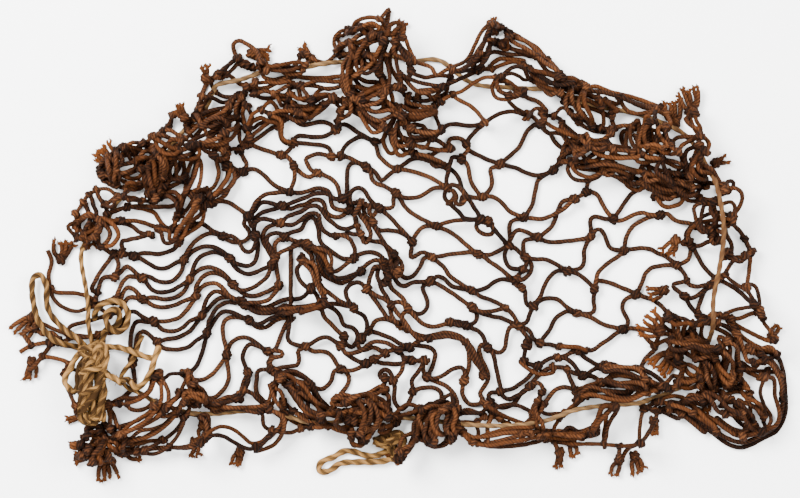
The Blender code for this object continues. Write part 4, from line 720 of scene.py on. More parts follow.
def tuft_lines(row):
    """Plan line of each cut end of a tuft, bent from its root to its splayed tip."""
    x, y, towards, length, ends, splay = row
    head = np.array((x, y), float)
    towards = math.radians(towards)
    spread = max(math.radians(splay), ends * (END_WIDE + END_APART) / length)
    root_step = 2 * math.asin(END_WIDE / (2 * TUFT_HEAD))
    lines = []
    for index in range(ends):
        out = turned(np.array((1.0, 0.0)), towards + (index + 0.5 - ends / 2) * root_step)
        root = head + ROOT_REACH * TUFT_HEAD * out
        lean = (index + 0.5) / ends - 0.5
        far = length * (1 - END_SHORTER * (index % 3) / 2)
        tip = head + far * turned(np.array((1.0, 0.0)), towards + lean * spread)
        bend = root + out * length * END_BEND
        share = np.linspace(0, 1, END_POINTS)[:, None]
        lines.append((1 - share) ** 2 * root + 2 * (1 - share) * share * bend + share ** 2 * tip)
    return lines


# How everything settles
# The strands lie in a loose pile on the table. Each one sinks from its first height until it
# rests on the table or on the strands that it crosses, and bends over them as twine does.
SEED = 41
TWINE_WIDE = 2.6
KNOT_HALF = 2.2
KNOT_HIGH = 4.6
KNOT_SIZES = (0.86, 1.08)
JOIN_SIZES = (0.62, 0.88)
TIE_KNOTS = (
    # name, from_x, from_y, to_x, to_y, half_wide, high, first height
    ("tie_knot", -154.5, -57.5, -154.0, -91.0, 6.0, 9.5, 12),
    ("lower_knot", -11.5, -100.5, 4.5, -105.0, 4.4, 6.5, 0.5),
)
# Spots this near a knot, or this near each other on one strand, do not lift each other.
TIED_REACH = 3.0
NEAR_KNOT = 4.0
SAME_RUN = 6.0
# How the spots lie on strands and tie knots, and the gap that stays between them.
SPOT_STEP = 2.2
TIE_SPOTS = 14
TIE_SPOT_ENDS = (0.05, 0.95)
GAP = 0.05
SPOT_COLUMNS = ("x", "y", "first", "second", "share", "half", "high", "strand", "run", "knot")
# Sweeps in all, sweeps in which the pile sinks and sweeps in which a crossing may change order.
SWEEPS = 700
SINKING = 420
ORDERING = 330
SINK = 0.045
STIFFNESS = 0.12
PUSH = 1.2
MOST_PUSH = 0.5
LEAST_WEIGHT = 0.5
HIGHEST = 22.0
# Two stretches of strand that cross keep one order along the length of a window.
WINDOW = 20.0
WINDOWS = 100
# An end this near a knot is in it, and one within reach of another strand is knotted to it.
MEETING = 1.9
JOIN_REACH = 9.0
JOINT_START = 1.0
# Bunches whose first height is at least this are two strands thick.
TWO_ABREAST = 5
ABREAST = (2.1, 3.0)
ABREAST_STEP = 4.0
ABREAST_LEAVE = 1.8
ABREAST_WANDER = 0.65


class Pile:
    """Heights of everything on the table: each strand sinks until it rests on what it crosses."""

    def __init__(self):
        self.height = []
        self.neighbours = []
        self.spots = []

    def node(self, start):
        """A new point whose height is to be found, and the height that it sinks from."""
        self.height.append(start)
        return len(self.height) - 1

    def spot(self, place, nodes, half, high, strand, run=0.0, knot=-1):
        """A spot between two points, with their shares, that others have to clear."""
        self.spots.append((place[0], place[1], *nodes, half, high, strand, run, knot))

    def lump(self, place, node, half, high, strand, knot=-1):
        """A spot that moves with one point alone."""
        self.spot(place, (node, node, 0), half, high, strand, knot=knot)

    def strand(self, line, nodes, wide, strand, knots=()):
        """A line of points with spots along it, near enough to find every crossing."""
        run = np.concatenate([[0], np.cumsum(np.linalg.norm(np.diff(line, axis=0), axis=1))])
        self.neighbours += list(zip(nodes, nodes[1:], nodes[2:]))
        for piece in range(len(line) - 1):
            length = run[piece + 1] - run[piece]
            count = max(1, math.ceil(length / SPOT_STEP))
            for share in (np.arange(count) + 0.5) / count:
                at = run[piece] + share * length
                near = [knot for vertex, knot in knots if abs(run[vertex] - at) < NEAR_KNOT]
                place = line[piece] * (1 - share) + line[piece + 1] * share
                self.spot(place, (nodes[piece], nodes[piece + 1], share), wide / 2, wide, strand, at,
                          near[0] if near else -1)

    def crossings(self, spots):
        """Pairs of spots that lie over each other, and a number for each pair of stretches."""
        x, y, half = spots["x"], spots["y"], spots["half"]
        strand, run, knot = spots["strand"], spots["run"], spots["knot"]
        stretch = strand * WINDOWS + run // WINDOW
        ones = []
        others = []
        for spot in range(len(x)):
            near = np.abs(x[spot + 1:] - x[spot]) < half[spot + 1:] + half[spot]
            found = np.nonzero(near)[0] + spot + 1
            far = np.hypot(x[found] - x[spot], y[found] - y[spot])
            same_knot = (knot[found] == knot[spot]) & (knot[spot] >= 0)
            same_run = (strand[found] == strand[spot]) & (np.abs(run[found] - run[spot]) < SAME_RUN)
            found = found[(far < half[found] + half[spot]) & ~same_knot & ~same_run]
            ones += [spot] * len(found)
            others += list(found)
        ones, others = np.array(ones), np.array(others)
        turn = stretch[ones] > stretch[others]
        ones, others = np.where(turn, others, ones), np.where(turn, ones, others)
        pairs = np.column_stack([stretch[ones], stretch[others]])
        return ones, others, np.unique(pairs, axis=0, return_inverse=True)[1].ravel()

    def settle(self):
        """Let the strands sink onto each other and the table until all of them clear."""
        spots = dict(zip(SPOT_COLUMNS, np.array(self.spots).T))
        ones, others, meeting = self.crossings(spots)
        height = np.array(self.height, float)
        count = len(height)
        first, second = spots["first"].astype(int), spots["second"].astype(int)
        share, high = spots["share"], spots["high"]
        before, here, after = np.array(self.neighbours).T
        for sweep in range(SWEEPS):
            if sweep < SINKING:
                height -= SINK
            height[here] += STIFFNESS * ((height[before] + height[after]) / 2 - height[here])
            height = np.clip(height, 0, HIGHEST)
            level = height[first] * (1 - share) + height[second] * share
            if sweep < ORDERING:
                above = np.bincount(meeting, level[ones] - level[others])[meeting] >= 0
            upper, lower = np.where(above, ones, others), np.where(above, others, ones)
            lack = high[lower] + GAP - (level[upper] - level[lower])
            short = lack > 0
            up, low, lack = upper[short], lower[short], lack[short]
            down = np.minimum(lack / 2, level[low])
            moved = np.zeros(count)
            weight = np.zeros(count)
            for pushed, push in ((up, lack - down), (low, -down)):
                for points, part in ((first[pushed], 1 - share[pushed]), (second[pushed], share[pushed])):
                    moved += np.bincount(points, push * part, count)
                    weight += np.bincount(points, part, count)
            height += np.clip(PUSH * moved / np.maximum(weight, LEAST_WEIGHT), -MOST_PUSH, MOST_PUSH)
        return np.clip(height, 0, HIGHEST)


def from_knot(place, knot):
    """How far a place lies from the middle line of a tie knot."""
    start, end = np.array(knot[1:3]), np.array(knot[3:5])
    share = np.clip(np.dot(place - start, end - start) / np.dot(end - start, end - start), 0, 1)
    return np.linalg.norm(place - start - share * (end - start))


def beside(points, far, phase):
    """A line that leaves another one at its ends and wanders next to it on its inner side."""
    line = through(points, ABREAST_STEP)
    ahead = np.gradient(line, axis=0)
    left = np.column_stack([-ahead[:, 1], ahead[:, 0]]) / np.linalg.norm(ahead, axis=1)[:, None]
    hand = np.sign(-(line * left).sum())
    share = np.linspace(0, 1, len(line))
    wander = 1 + ABREAST_WANDER * np.sin(2 * math.pi * share + phase)
    away = np.minimum(1, ABREAST_LEAVE * np.sin(math.pi * share)) * wander
    return line + left * (hand * far * away)[:, None]


chance = random.Random(SEED)
starts = [row[0] for row in STRANDS + BUNCHED]
rows = [plan_points(row) for row in STRANDS + BUNCHED]

# A strand that ends near another one is knotted to it there.
first_lines = [through(points, TRACE_STEP) for points in rows]
owners = np.concatenate([[number] * len(line) for number, line in enumerate(first_lines)])
vertices = np.concatenate(first_lines)
joints = [{"place": place, "strands": set(range(len(STRANDS))), "size": KNOT_SIZES}
          for place in knot_places]
for number, points in enumerate(rows):
    for end in (0, -1):
        if min(np.linalg.norm(place - points[end]) for place in knot_places) < MEETING:
            continue
        far = np.linalg.norm(vertices - points[end], axis=1) + JOIN_REACH * (owners == number)
        nearest = int(np.argmin(far))
        if far[nearest] < JOIN_REACH:
            place = vertices[nearest]
            joints.append({"place": place, "strands": {number, owners[nearest]}, "size": JOIN_SIZES})
            if far[nearest] > MEETING:
                rows[number] = np.vstack([place, rows[number]] if end == 0 else [rows[number], place])

# In the thick bunches a second strand lies beside each one.
for number in range(len(STRANDS), len(rows)):
    if starts[number] < TWO_ABREAST:
        continue
    for joint in joints:
        if number in joint["strands"]:
            joint["strands"].add(len(rows))
    rows.append(beside(rows[number], chance.uniform(*ABREAST), chance.uniform(0, 2 * math.pi)))
    starts.append(starts[number])

pile = Pile()
for number, joint in enumerate(joints):
    joint["node"] = pile.node(JOINT_START)
    joint["arms"] = []
    pile.lump(joint["place"], joint["node"], KNOT_HALF, KNOT_HIGH * joint["size"][0], -1 - number, number)
laid = []
for index, (start, points) in enumerate(zip(starts, rows)):
    line = through(points, TRACE_STEP)
    nodes = [pile.node(start) for _ in line]
    passes = []
    for number, joint in enumerate(joints):
        if index not in joint["strands"]:
            continue
        far = np.linalg.norm(line - joint["place"], axis=1)
        vertex = int(np.argmin(far))
        if far[vertex] < MEETING:
            line[vertex] = joint["place"]
            nodes[vertex] = joint["node"]
            passes.append((vertex, number))
            ahead = line[min(vertex + 1, len(line) - 1)] - line[max(vertex - 1, 0)]
            joint["arms"].append(ahead / np.linalg.norm(ahead))
            pile.height[joint["node"]] = max(pile.height[joint["node"]], start)
    pile.strand(line, nodes, TWINE_WIDE, index, passes)
    laid.append((line, nodes))

# The string and its two knots settle with the strands, and so do the cut ends.
loose_nodes = {}
strand_count = len(laid)
for name, line in cord_routes.items():
    rise = CORD_START[name] + CORD_SLOPE * np.linspace(0, 1, len(line))
    rise[line[:, 0] > STRING_OVER] = OVER_START
    loose_nodes[name] = [pile.node(start) for start in rise]
    tied = [(vertex, len(joints) + number) for number, knot in enumerate(TIE_KNOTS)
            for vertex, place in enumerate(line) if from_knot(place, knot) < knot[5] + TIED_REACH]
    pile.strand(line, loose_nodes[name], STRING_WIDE, strand_count, tied)
    strand_count += 1
tie_nodes = {}
for number, (name, from_x, from_y, to_x, to_y, half_wide, high, first) in enumerate(TIE_KNOTS):
    tie_nodes[name] = pile.node(first)
    start, end = np.array((from_x, from_y)), np.array((to_x, to_y))
    left = turned((end - start) / np.linalg.norm(end - start), math.pi / 2)
    for share in np.linspace(*TIE_SPOT_ENDS, TIE_SPOTS):
        for side in (-1, 1):
            place = start + share * (end - start) + side * half_wide / 2 * left
            pile.lump(place, tie_nodes[name], half_wide / 2, high, strand_count, len(joints) + number)
    strand_count += 1
tuft_nodes = []
for row in TUFTS:
    far = math.hypot(row[0] - TUFT_MIDDLE[0], row[1] - TUFT_MIDDLE[1])
    at_rim = far > FAR_OUT or abs(row[1]) > FAR_UP
    node = pile.node(0 if at_rim else TUFT_START)
    tuft_nodes.append(node)
    pile.lump(row, node, TUFT_HEAD, KNOT_HIGH, strand_count)
    for line in tuft_lines(row):
        for place in line[1:]:
            pile.lump(place, node, END_WIDE / 2, END_WIDE, strand_count)
    strand_count += 1
height = pile.settle()


# Twine
# The twine is three hard plies of dark brown fibre laid together. Its colour is painted paler
# where it faces up, a painted light, and darker between the plies, a painted shade. Each knot
# is two tight turns round the strands that it holds.
TWINE_LAY = 5.4 * METRE
TWINE_HAIR = 1.3 * METRE
LINE_STEP = 1.4
KNOT_STEP = 1.2
KNOT_THICK = 0.88
KNOT_SKEW = 14
KNOT_TURNS = (
    # along, across, height
    (-2.2, -0.5, 1.0), (-1.3, -1.7, 1.5), (-0.75, -1.35, 3.0), (-0.45, 0.2, 3.6), (-0.2, 1.55, 2.9),
    (0.0, 1.85, 1.6), (0.1, 0.7, 0.7), (0.3, -0.9, 0.8), (0.6, -1.85, 1.6), (0.85, -1.25, 3.0),
    (1.0, 0.3, 3.6), (1.2, 1.5, 2.7), (1.5, 1.6, 1.4), (2.2, 0.6, 1.0),
)
KNOT_BIGHT = (
    # along, across, height
    (-2.0, 0.6, 1.2), (-1.0, 1.1, 2.5), (0.0, 0.6, 3.3), (0.9, -0.5, 3.2), (1.9, -0.9, 1.4),
)
# The twine's colours run from dark through brown to light. The dark one shows in the painted shade between
# the plies and in dark streaks. The light one shows in the painted light where the twine faces up, on the
# ply crests and in pale streaks. Cut is the orange of cut fibres.
TWINE_FINISH = {
    "dark": (0.0024, 0.0008, 0.0003),
    "brown": (0.0200, 0.0068, 0.0026),
    "light": (0.0680, 0.0245, 0.0085),
    "cut": (0.0820, 0.0240, 0.0052),
}
TWINE_ROUGH = 0.85
TWINE_STREAKS = (300.0, 4.0)
TWINE_PATCHES = 90.0
TWINE_BUMP = 0.0002
NOT_SHINY = 0.05
STREAK_SHIFT = 37.0
# Hairs that stand loose from the strands. Their bend and thickness are shares of their length.
HAIR_BEND = ((0.0, 0.0, -0.05), (0.25, 0.1, 0.55), (0.9, 0.25, 0.6))
HAIR_THICK = 0.035
HAIR_CUT = 0.7
HAIR_LONG = (0.5, 1.5)
HAIR_TURN = ((-0.5, -0.5, 0.0), (0.5, 0.5, 6.3))


class Strands:
    """Lines that become one mesh of laid strands, with what each point of a line carries."""

    def __init__(self, radius):
        self.radius = radius
        self.points = []
        self.edges = []
        self.thick = []
        self.cut = []
        self.shade = []

    def add(self, line, step, shade, thick=1.0, cut=0.0):
        """Add a line. Thickness and how much it is a cut end are numbers, or run start to end."""
        even = through(line, step)
        run = np.linspace(0, 1, len(even))
        thick = np.interp(run, (0, 1), np.broadcast_to(thick, 2))
        even[:, 2] = np.maximum(even[:, 2], self.radius * thick)
        first = len(self.points)
        plan = (even[:, :2] - PLAN_MIDDLE) * METRE
        self.points += [(x, y, z * METRE) for (x, y), z in zip(plan, even[:, 2])]
        self.edges += [(first + index, first + index + 1) for index in range(len(even) - 1)]
        self.thick += list(thick)
        self.cut += list(np.interp(run, (0, 1), np.broadcast_to(cut, 2)))
        self.shade += [shade] * len(even)
        return even

    def finish(self, name, tree, sizes):
        """Lay the plies along every line and return the finished mesh object."""
        mesh = bpy.data.meshes.new(name)
        mesh.from_pydata(self.points, self.edges, [])
        for label, values in (("thick", self.thick), ("cut", self.cut), ("shade", self.shade)):
            mesh.attributes.new(label, "FLOAT", "POINT").data.foreach_set("value", values)
        return with_nodes(name, mesh, tree, sizes)


def with_nodes(name, mesh, tree, sizes):
    """A plain mesh object made from a mesh by a tree of geometry nodes with its sizes set."""
    raw = bpy.data.objects.new(name, mesh)
    scene.collection.objects.link(raw)
    work = raw.modifiers.new("nodes", "NODES")
    work.node_group = tree
    sockets = {item.name: item.identifier for item in tree.interface.items_tree
               if item.item_type == "SOCKET" and item.in_out == "INPUT"}
    for label, value in sizes.items():
        work[sockets[label]] = value
    graph = bpy.context.evaluated_depsgraph_get()
    made = bpy.data.meshes.new_from_object(raw.evaluated_get(graph))
    raw.modifiers.remove(work)
    bpy.data.objects.remove(raw)
    made.name = name
    piece = bpy.data.objects.new(name, made)
    scene.collection.objects.link(piece)
    return piece


class Nodes:
    """A tree whose nodes are added one by one."""

    def __init__(self, tree):
        self.tree = tree

    def node(self, kind, settings, sockets):
        """A node with its settings, then the values or links of its sockets. Returns its outputs."""
        node = self.tree.nodes.new(kind)
        for label, value in settings.items():
            setattr(node, label, value)
        for label, value in sockets.items():
            value = getattr(value, "socket", value)
            if isinstance(value, bpy.types.NodeSocket):
                self.tree.links.new(value, node.inputs[label])
            else:
                node.inputs[label].default_value = value
        return [socket for socket in node.outputs if socket.enabled]


class Builder(Nodes):
    """A tree of geometry nodes with named inputs."""

    def __init__(self, name, sockets):
        super().__init__(bpy.data.node_groups.new(name, "GeometryNodeTree"))
        for label, kind in sockets:
            self.tree.interface.new_socket(label, in_out="INPUT", socket_type=kind)
        self.tree.interface.new_socket("Geometry", in_out="OUTPUT", socket_type="NodeSocketGeometry")
        self.inputs = self.tree.nodes.new("NodeGroupInput").outputs

    def join(self, one, other):
        """Two geometries as one."""
        both = self.tree.nodes.new("GeometryNodeJoinGeometry")
        for geometry in (one, other):
            self.tree.links.new(geometry, both.inputs[0])
        return both.outputs[0]

    def chance(self, low, high):
        """A number or a vector by chance for each point."""
        kind, first = ("FLOAT", 2) if isinstance(low, float) else ("FLOAT_VECTOR", 0)
        limits = {first: low, first + 1: high}
        return self.node("FunctionNodeRandomValue", {"data_type": kind}, limits)[0]

    def maths(self, operation, *values):
        """A number worked out by one operation."""
        return self.node("ShaderNodeMath", {"operation": operation}, dict(enumerate(values)))[0]

    def store(self, geometry, name, kind, value):
        """A geometry whose points carry a value by name."""
        return self.node("GeometryNodeStoreNamedAttribute", {"data_type": kind, "domain": "POINT"},
                         {"Geometry": geometry, "Name": name, "Value": value})[0]

    def named(self, name, kind):
        """The value that each point carries by a name."""
        return self.node("GeometryNodeInputNamedAttribute", {"data_type": kind}, {"Name": name})[0]

    def output(self, geometry):
        """End the tree with real geometry."""
        out = self.tree.nodes.new("NodeGroupOutput")
        self.tree.links.new(geometry, out.inputs[0])
        return self.tree


def loose_hairs(build, mesh):
    """Short bent hairs that stand loose from the strands."""
    start, middle, end = HAIR_BEND
    bent = build.node("GeometryNodeCurveQuadraticBezier", {},
                      {"Resolution": 2, "Start": start, "Middle": middle, "End": end})[0]
    section = build.node("GeometryNodeCurvePrimitiveCircle", {},
                         {"Resolution": 3, "Radius": HAIR_THICK})[0]
    hair = build.node("GeometryNodeCurveToMesh", {},
                      {"Curve": bent, "Profile Curve": section, "Fill Caps": True})[0]
    hair = build.store(hair, "cut", "FLOAT", HAIR_CUT)
    spread = build.node("GeometryNodeDistributePointsOnFaces", {},
                        {"Mesh": mesh, "Density": build.inputs["Hairs"]})
    long = build.maths("MULTIPLY", build.chance(*HAIR_LONG), build.inputs["Hair Length"])
    hairs = build.node("GeometryNodeInstanceOnPoints", {},
                       {"Points": spread[0], "Instance": hair, "Rotation": spread[2], "Scale": long})[0]
    hairs = build.node("GeometryNodeRotateInstances", {},
                       {"Instances": hairs, "Rotation": build.chance(*HAIR_TURN)})[0]
    return build.join(mesh, build.node("GeometryNodeRealizeInstances", {}, {"Geometry": hairs})[0])


def laid_strand_tree():
    """Geometry nodes that lay plies along every line of a mesh."""
    build = Builder("laid_strands", (
        ("Lines", "NodeSocketGeometry"), ("Radius", "NodeSocketFloat"), ("Plies", "NodeSocketFloat"),
        ("Ply Depth", "NodeSocketFloat"), ("Lay Length", "NodeSocketFloat"), ("Sides", "NodeSocketInt"),
        ("Hairs", "NodeSocketFloat"), ("Hair Length", "NodeSocketFloat"),
        ("Finish", "NodeSocketMaterial"),
    ))
    lines = build.inputs
    curve = build.node("GeometryNodeMeshToCurve", {}, {"Mesh": lines["Lines"]})[0]
    length = build.node("GeometryNodeSplineParameter", {}, {})[1]
    curve = build.store(curve, "along", "FLOAT", length)
    circle = build.node("GeometryNodeCurvePrimitiveCircle", {},
                        {"Resolution": lines["Sides"], "Radius": 1.0})[0]
    place = build.node("GeometryNodeInputPosition", {}, {})[0]
    circle = build.store(circle, "round", "FLOAT_VECTOR", place)
    radius = build.maths("MULTIPLY", build.named("thick", "FLOAT"), lines["Radius"])
    mesh = build.node("GeometryNodeCurveToMesh", {},
                      {"Curve": curve, "Profile Curve": circle, "Scale": radius, "Fill Caps": True})[0]
    side = build.node("ShaderNodeSeparateXYZ", {}, {"Vector": build.named("round", "FLOAT_VECTOR")})
    angle = build.maths("ARCTAN2", side[1], side[0])
    turns = build.maths("DIVIDE", build.named("along", "FLOAT"), lines["Lay Length"])
    twist = build.maths("SUBTRACT", angle, build.maths("MULTIPLY", turns, 2 * math.pi))
    crest = build.maths("COSINE", build.maths("MULTIPLY", twist, lines["Plies"]))
    swell = build.maths("MULTIPLY", build.maths("MULTIPLY", crest, lines["Ply Depth"]), radius)
    outward = build.node("GeometryNodeInputNormal", {}, {})[0]
    offset = build.node("ShaderNodeVectorMath", {"operation": "SCALE"},
                        {"Vector": outward, "Scale": swell})[0]
    mesh = build.node("GeometryNodeSetPosition", {}, {"Geometry": mesh, "Offset": offset})[0]
    mesh = loose_hairs(build, mesh)
    mesh = build.node("GeometryNodeSetShadeSmooth", {}, {"Geometry": mesh, "Shade Smooth": True})[0]
    mesh = build.node("GeometryNodeRealizeInstances", {}, {"Geometry": mesh})[0]
    return build.output(build.node("GeometryNodeSetMaterial", {},
                                   {"Geometry": mesh, "Material": lines["Finish"]})[0])


class Value:
    """A number in a material's nodes, so that shader maths reads as arithmetic."""

    def __init__(self, finish, socket):
        self.finish = finish
        self.socket = socket

    def __add__(self, other):
        return self.finish.maths("ADD", self, other)

    def __mul__(self, other):
        return self.finish.maths("MULTIPLY", self, other)

    def __sub__(self, other):
        return self.finish.maths("SUBTRACT", self, other)

    def __rsub__(self, other):
        return self.finish.maths("SUBTRACT", other, self)

    __radd__ = __add__
    __rmul__ = __mul__


class Finish(Nodes):
    """One material, with its nodes added by name."""

    def __init__(self, name, roughness):
        self.material = bpy.data.materials.new(name)
        self.material.use_nodes = True
        super().__init__(self.material.node_tree)
        self.shader = self.tree.nodes["Principled BSDF"]
        self.shader.inputs["Roughness"].default_value = roughness
        self.shader.inputs["Specular IOR Level"].default_value = NOT_SHINY

    def maths(self, operation, one, other=0.0):
        """One operation on two numbers or sockets."""
        return Value(self, self.node("ShaderNodeMath", {"operation": operation}, {0: one, 1: other})[0])

    def attribute(self, name):
        """A number that the mesh carries."""
        return Value(self, self.node("ShaderNodeAttribute", {"attribute_name": name}, {})[2])

    def place(self):
        """Where a point lies on the object, in metres."""
        return self.node("ShaderNodeTexCoord", {}, {})[3]

    def parts(self, vector):
        """The three numbers of a vector."""
        return [Value(self, socket) for socket in self.node("ShaderNodeSeparateXYZ", {}, {"Vector": vector})]

    def noise(self, place, scale, detail=2.0):
        """Soft noise from 0 to 1 at a place."""
        sizes = {"Vector": place, "Scale": scale, "Detail": detail}
        return Value(self, self.node("ShaderNodeTexNoise", {}, sizes)[0])

    def smooth(self, value, low, high):
        """0 below low and 1 above high, with a soft step between."""
        settings = {"interpolation_type": "SMOOTHSTEP"}
        limits = {"Value": value, "From Min": low, "From Max": high}
        return Value(self, self.node("ShaderNodeMapRange", settings, limits)[0])

    def mix(self, share, one, other):
        """A colour between two others."""
        one, other = [colour if isinstance(colour, bpy.types.NodeSocket) else (*colour, 1)
                      for colour in (one, other)]
        return self.node("ShaderNodeMix", {"data_type": "RGBA"}, {0: share, 6: one, 7: other})[0]

    def paint(self, colour):
        """Give the surface its colour."""
        self.tree.links.new(colour, self.shader.inputs["Base Color"])

    def bump(self, value, depth):
        """Raise the surface by a value times a depth in metres."""
        sizes = {"Height": value, "Distance": depth, "Strength": 1.0}
        normal = self.node("ShaderNodeBump", {}, sizes)[0]
        self.tree.links.new(normal, self.shader.inputs["Normal"])

    def plies(self, count, lay, along_scale, round_scale):
        """How far each place lies out on its ply, and fine streaks that follow the laid fibres."""
        along = self.attribute("along")
        x, y, _ = self.parts(self.node("ShaderNodeAttribute", {"attribute_name": "round"}, {})[1])
        angle = self.maths("ARCTAN2", y, x) - along * (2 * math.pi / lay)
        crest = self.maths("COSINE", angle * count) * 0.5 + 0.5
        shift = self.attribute("shade") * STREAK_SHIFT
        across = self.maths("COSINE", angle) * round_scale + shift
        upward = self.maths("SINE", angle) * round_scale
        place = self.node("ShaderNodeCombineXYZ", {}, {"X": along * along_scale, "Y": across, "Z": upward})
        return crest, self.noise(place[0], 1.0, 3.0)


def twine_finish():
    """Brown laid twine: painted shade between the plies, painted light that makes it paler on top, orange
    where it is cut.
    """
    finish = Finish("twine", TWINE_ROUGH)
    crest, streaks = finish.plies(3, TWINE_LAY, *TWINE_STREAKS)
    shade = finish.attribute("shade")
    patches = finish.noise(finish.place(), TWINE_PATCHES)
    # Painted light and shade: the colour is painted paler where the surface faces up, and paler on each
    # ply's crest than in the groove between plies. The streaks, patches and each strand's tone are the
    # twine's own.
    up = finish.parts(finish.node("ShaderNodeNewGeometry", {}, {})[1])[2]
    tone_and_painted_light = crest * 0.42 + streaks * 0.8 + patches * 0.6 + shade * 0.35 + up * 0.2 - 0.91
    colour = finish.mix(finish.smooth(tone_and_painted_light, -0.1, 0.5), TWINE_FINISH["dark"], TWINE_FINISH["brown"])
    colour = finish.mix(finish.smooth(tone_and_painted_light, 0.3, 0.85), colour, TWINE_FINISH["light"])
    rust = finish.smooth(streaks * 0.9 + finish.attribute("cut"), 0.5, 1.5)
    finish.paint(finish.mix(rust, colour, TWINE_FINISH["cut"]))
    finish.bump(streaks + crest * 0.7, TWINE_BUMP)
    return finish.material


strand_tree = laid_strand_tree()
TWINE_SIZES = {
    "Radius": TWINE_WIDE / 2 * METRE, "Plies": 3.0, "Ply Depth": 0.05, "Lay Length": TWINE_LAY,
    "Sides": 7, "Hairs": 15000.0, "Hair Length": TWINE_HAIR, "Finish": twine_finish(),
}


# The net and its gathered rim
# The strands and knots of the middle are the net proper. Round them the same brown twine is
# bunched on the drawstring, and each stretch of this rim is a piece of its own, painted paler
# than the middle, a painted light against the shade among its bunches, and more orange.
RIM_PARTS = {
    # name: the lowest and the highest plan X of a strand's middle
    "rim_left": (-1000, -100),
    "rim_left_middle": (-100, -20),
    "rim_middle": (-20, 90),
    "rim_right": (90, 150),
    "rim_far_right": (150, 1000),
}
# Each strand's tone is drawn at random from a range. The rim's range is set paler than the middle's: a
# painted light that offsets the shade among the rim's bunches.
INNER_SHADE = (-0.35, 0.6)
RIM_TONE_AND_PAINTED_LIGHT = (-0.35, 0.95)
RIM_THICK = (0.84, 1.0)
RIM_RUST = 0.4
net_strands = {name: Strands(TWINE_WIDE / 2) for name in ("net", *RIM_PARTS)}


def rim_part(x):
    """The part of the rim that takes what lies at a plan X."""
    return next(net_strands[name] for name, (low, high) in RIM_PARTS.items() if low <= x < high)


# The rim's strands take the paler tone range, a painted light against the shade among the bunches.
for number, (line, nodes) in enumerate(laid):
    space = np.column_stack([line, height[nodes] + TWINE_WIDE / 2])
    if number < len(STRANDS):
        net_strands["net"].add(space, LINE_STEP, chance.uniform(*INNER_SHADE))
    else:
        rim_part(line[len(line) // 2][0]).add(space, LINE_STEP, chance.uniform(*RIM_TONE_AND_PAINTED_LIGHT),
                                              chance.uniform(*RIM_THICK), chance.uniform(0, RIM_RUST))
for number, joint in enumerate(joints):
    if not joint["arms"]:
        continue
    axis = sum(arm if np.dot(arm, joint["arms"][0]) >= 0 else -arm for arm in joint["arms"])
    axis = turned(axis / np.linalg.norm(axis), math.radians(chance.uniform(-KNOT_SKEW, KNOT_SKEW)))
    left = turned(axis, math.pi / 2)
    hand = chance.choice((-1, 1))
    size = chance.uniform(*joint["size"])
    inner = number < len(knot_places)
    part = net_strands["net"] if inner else rim_part(joint["place"][0])
    # The rim's knots take the same paler tone range, a painted light.
    shade = chance.uniform(*(INNER_SHADE if inner else RIM_TONE_AND_PAINTED_LIGHT))
    for turns in (KNOT_TURNS, KNOT_BIGHT)[:2 if inner else 1]:
        space = [(*(joint["place"] + size * (along * axis + hand * across * left)),
                  height[joint["node"]] + size * rise) for along, across, rise in turns]
        part.add(np.array(space), KNOT_STEP, shade, KNOT_THICK)
for name, strands in net_strands.items():
    piece = strands.finish(name, strand_tree, TWINE_SIZES)
    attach(piece, "root")
    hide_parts("net")


# Cut ends
# Each tuft is a knot with its cut ends. An end opens into its three plies and these into loose
# fibres, paler and more orange than the outside of the twine.
HEAD_RUST = 0.2
# Tufts splayed at least this many degrees are wholly frayed, the others less.
MOST_FRAYED = 80
LESS_FRAYED = 0.6
# The stem is the end of the twine up to where it opens.
STEM_POINTS = 6
STEM_THICK = 0.95
STEM_RISE = 2.5
STEM_BOW = 1.2
STEM_RUST = (0.1, 0.6)
PLY_SIZES = dict(TWINE_SIZES, **{"Ply Depth": 0.0, "Sides": 6})
# The three plies that it opens into.
PLY_STEP = 0.8
PLY_POINTS = (0, 0.35, 0.7, 1.0)
PLY_THICK = (0.62, 0.5)
PLY_OPEN = 0.5
PLY_LEAN = 0.3
PLY_LONG = (1.2, 2.2)
PLY_GROWS = (0.6, 0.8)
PLY_TILT = (-0.25, 0.45)
PLY_CURL = 0.7
# The loose fibres of each ply.
FIBRE_STEP = 1.2
FIBRES = 6
FIBRE_THICK = (0.32, 0.2)
FIBRE_LEAN = 0.7
FIBRE_FROM = (0.3, 1.0)
FIBRE_LONG = (0.5, 1.5)
FIBRE_RISE = ((-0.3, 0.6), (-0.6, 0.9))
FIBRE_LOW = 0.3


def opened_ply(root, ahead, lean, frayed, level):
    """Points of one ply that has opened from the end of the twine and curls away."""
    out = turned(ahead, lean + chance.uniform(-PLY_LEAN, PLY_LEAN))
    long = chance.uniform(*PLY_LONG) * (PLY_GROWS[0] + PLY_GROWS[1] * frayed)
    tilt = chance.uniform(*PLY_TILT)
    side = turned(ahead, math.pi / 2) * chance.uniform(-PLY_CURL, PLY_CURL)
    return np.array([(*(root[:2] + out * long * at + side * at ** 2 * 2),
                      max(root[2] + tilt * long * at, level + PLY_THICK[0])) for at in PLY_POINTS])


def loose_fibre(ply, ahead, level):
    """Points of one fibre that stands away from a ply."""
    out = turned(ahead, chance.uniform(-FIBRE_LEAN, FIBRE_LEAN))
    at, end = chance.uniform(*FIBRE_FROM), chance.uniform(*FIBRE_LONG)
    start = ply[-1] * at + ply[0] * (1 - at)
    fibre = [start]
    for share, rise in zip((0.5, 1.0), FIBRE_RISE):
        fibre.append(start + (*(out * end * share), chance.uniform(*rise)))
    return np.array([(x, y, max(z, level + FIBRE_LOW)) for x, y, z in fibre])


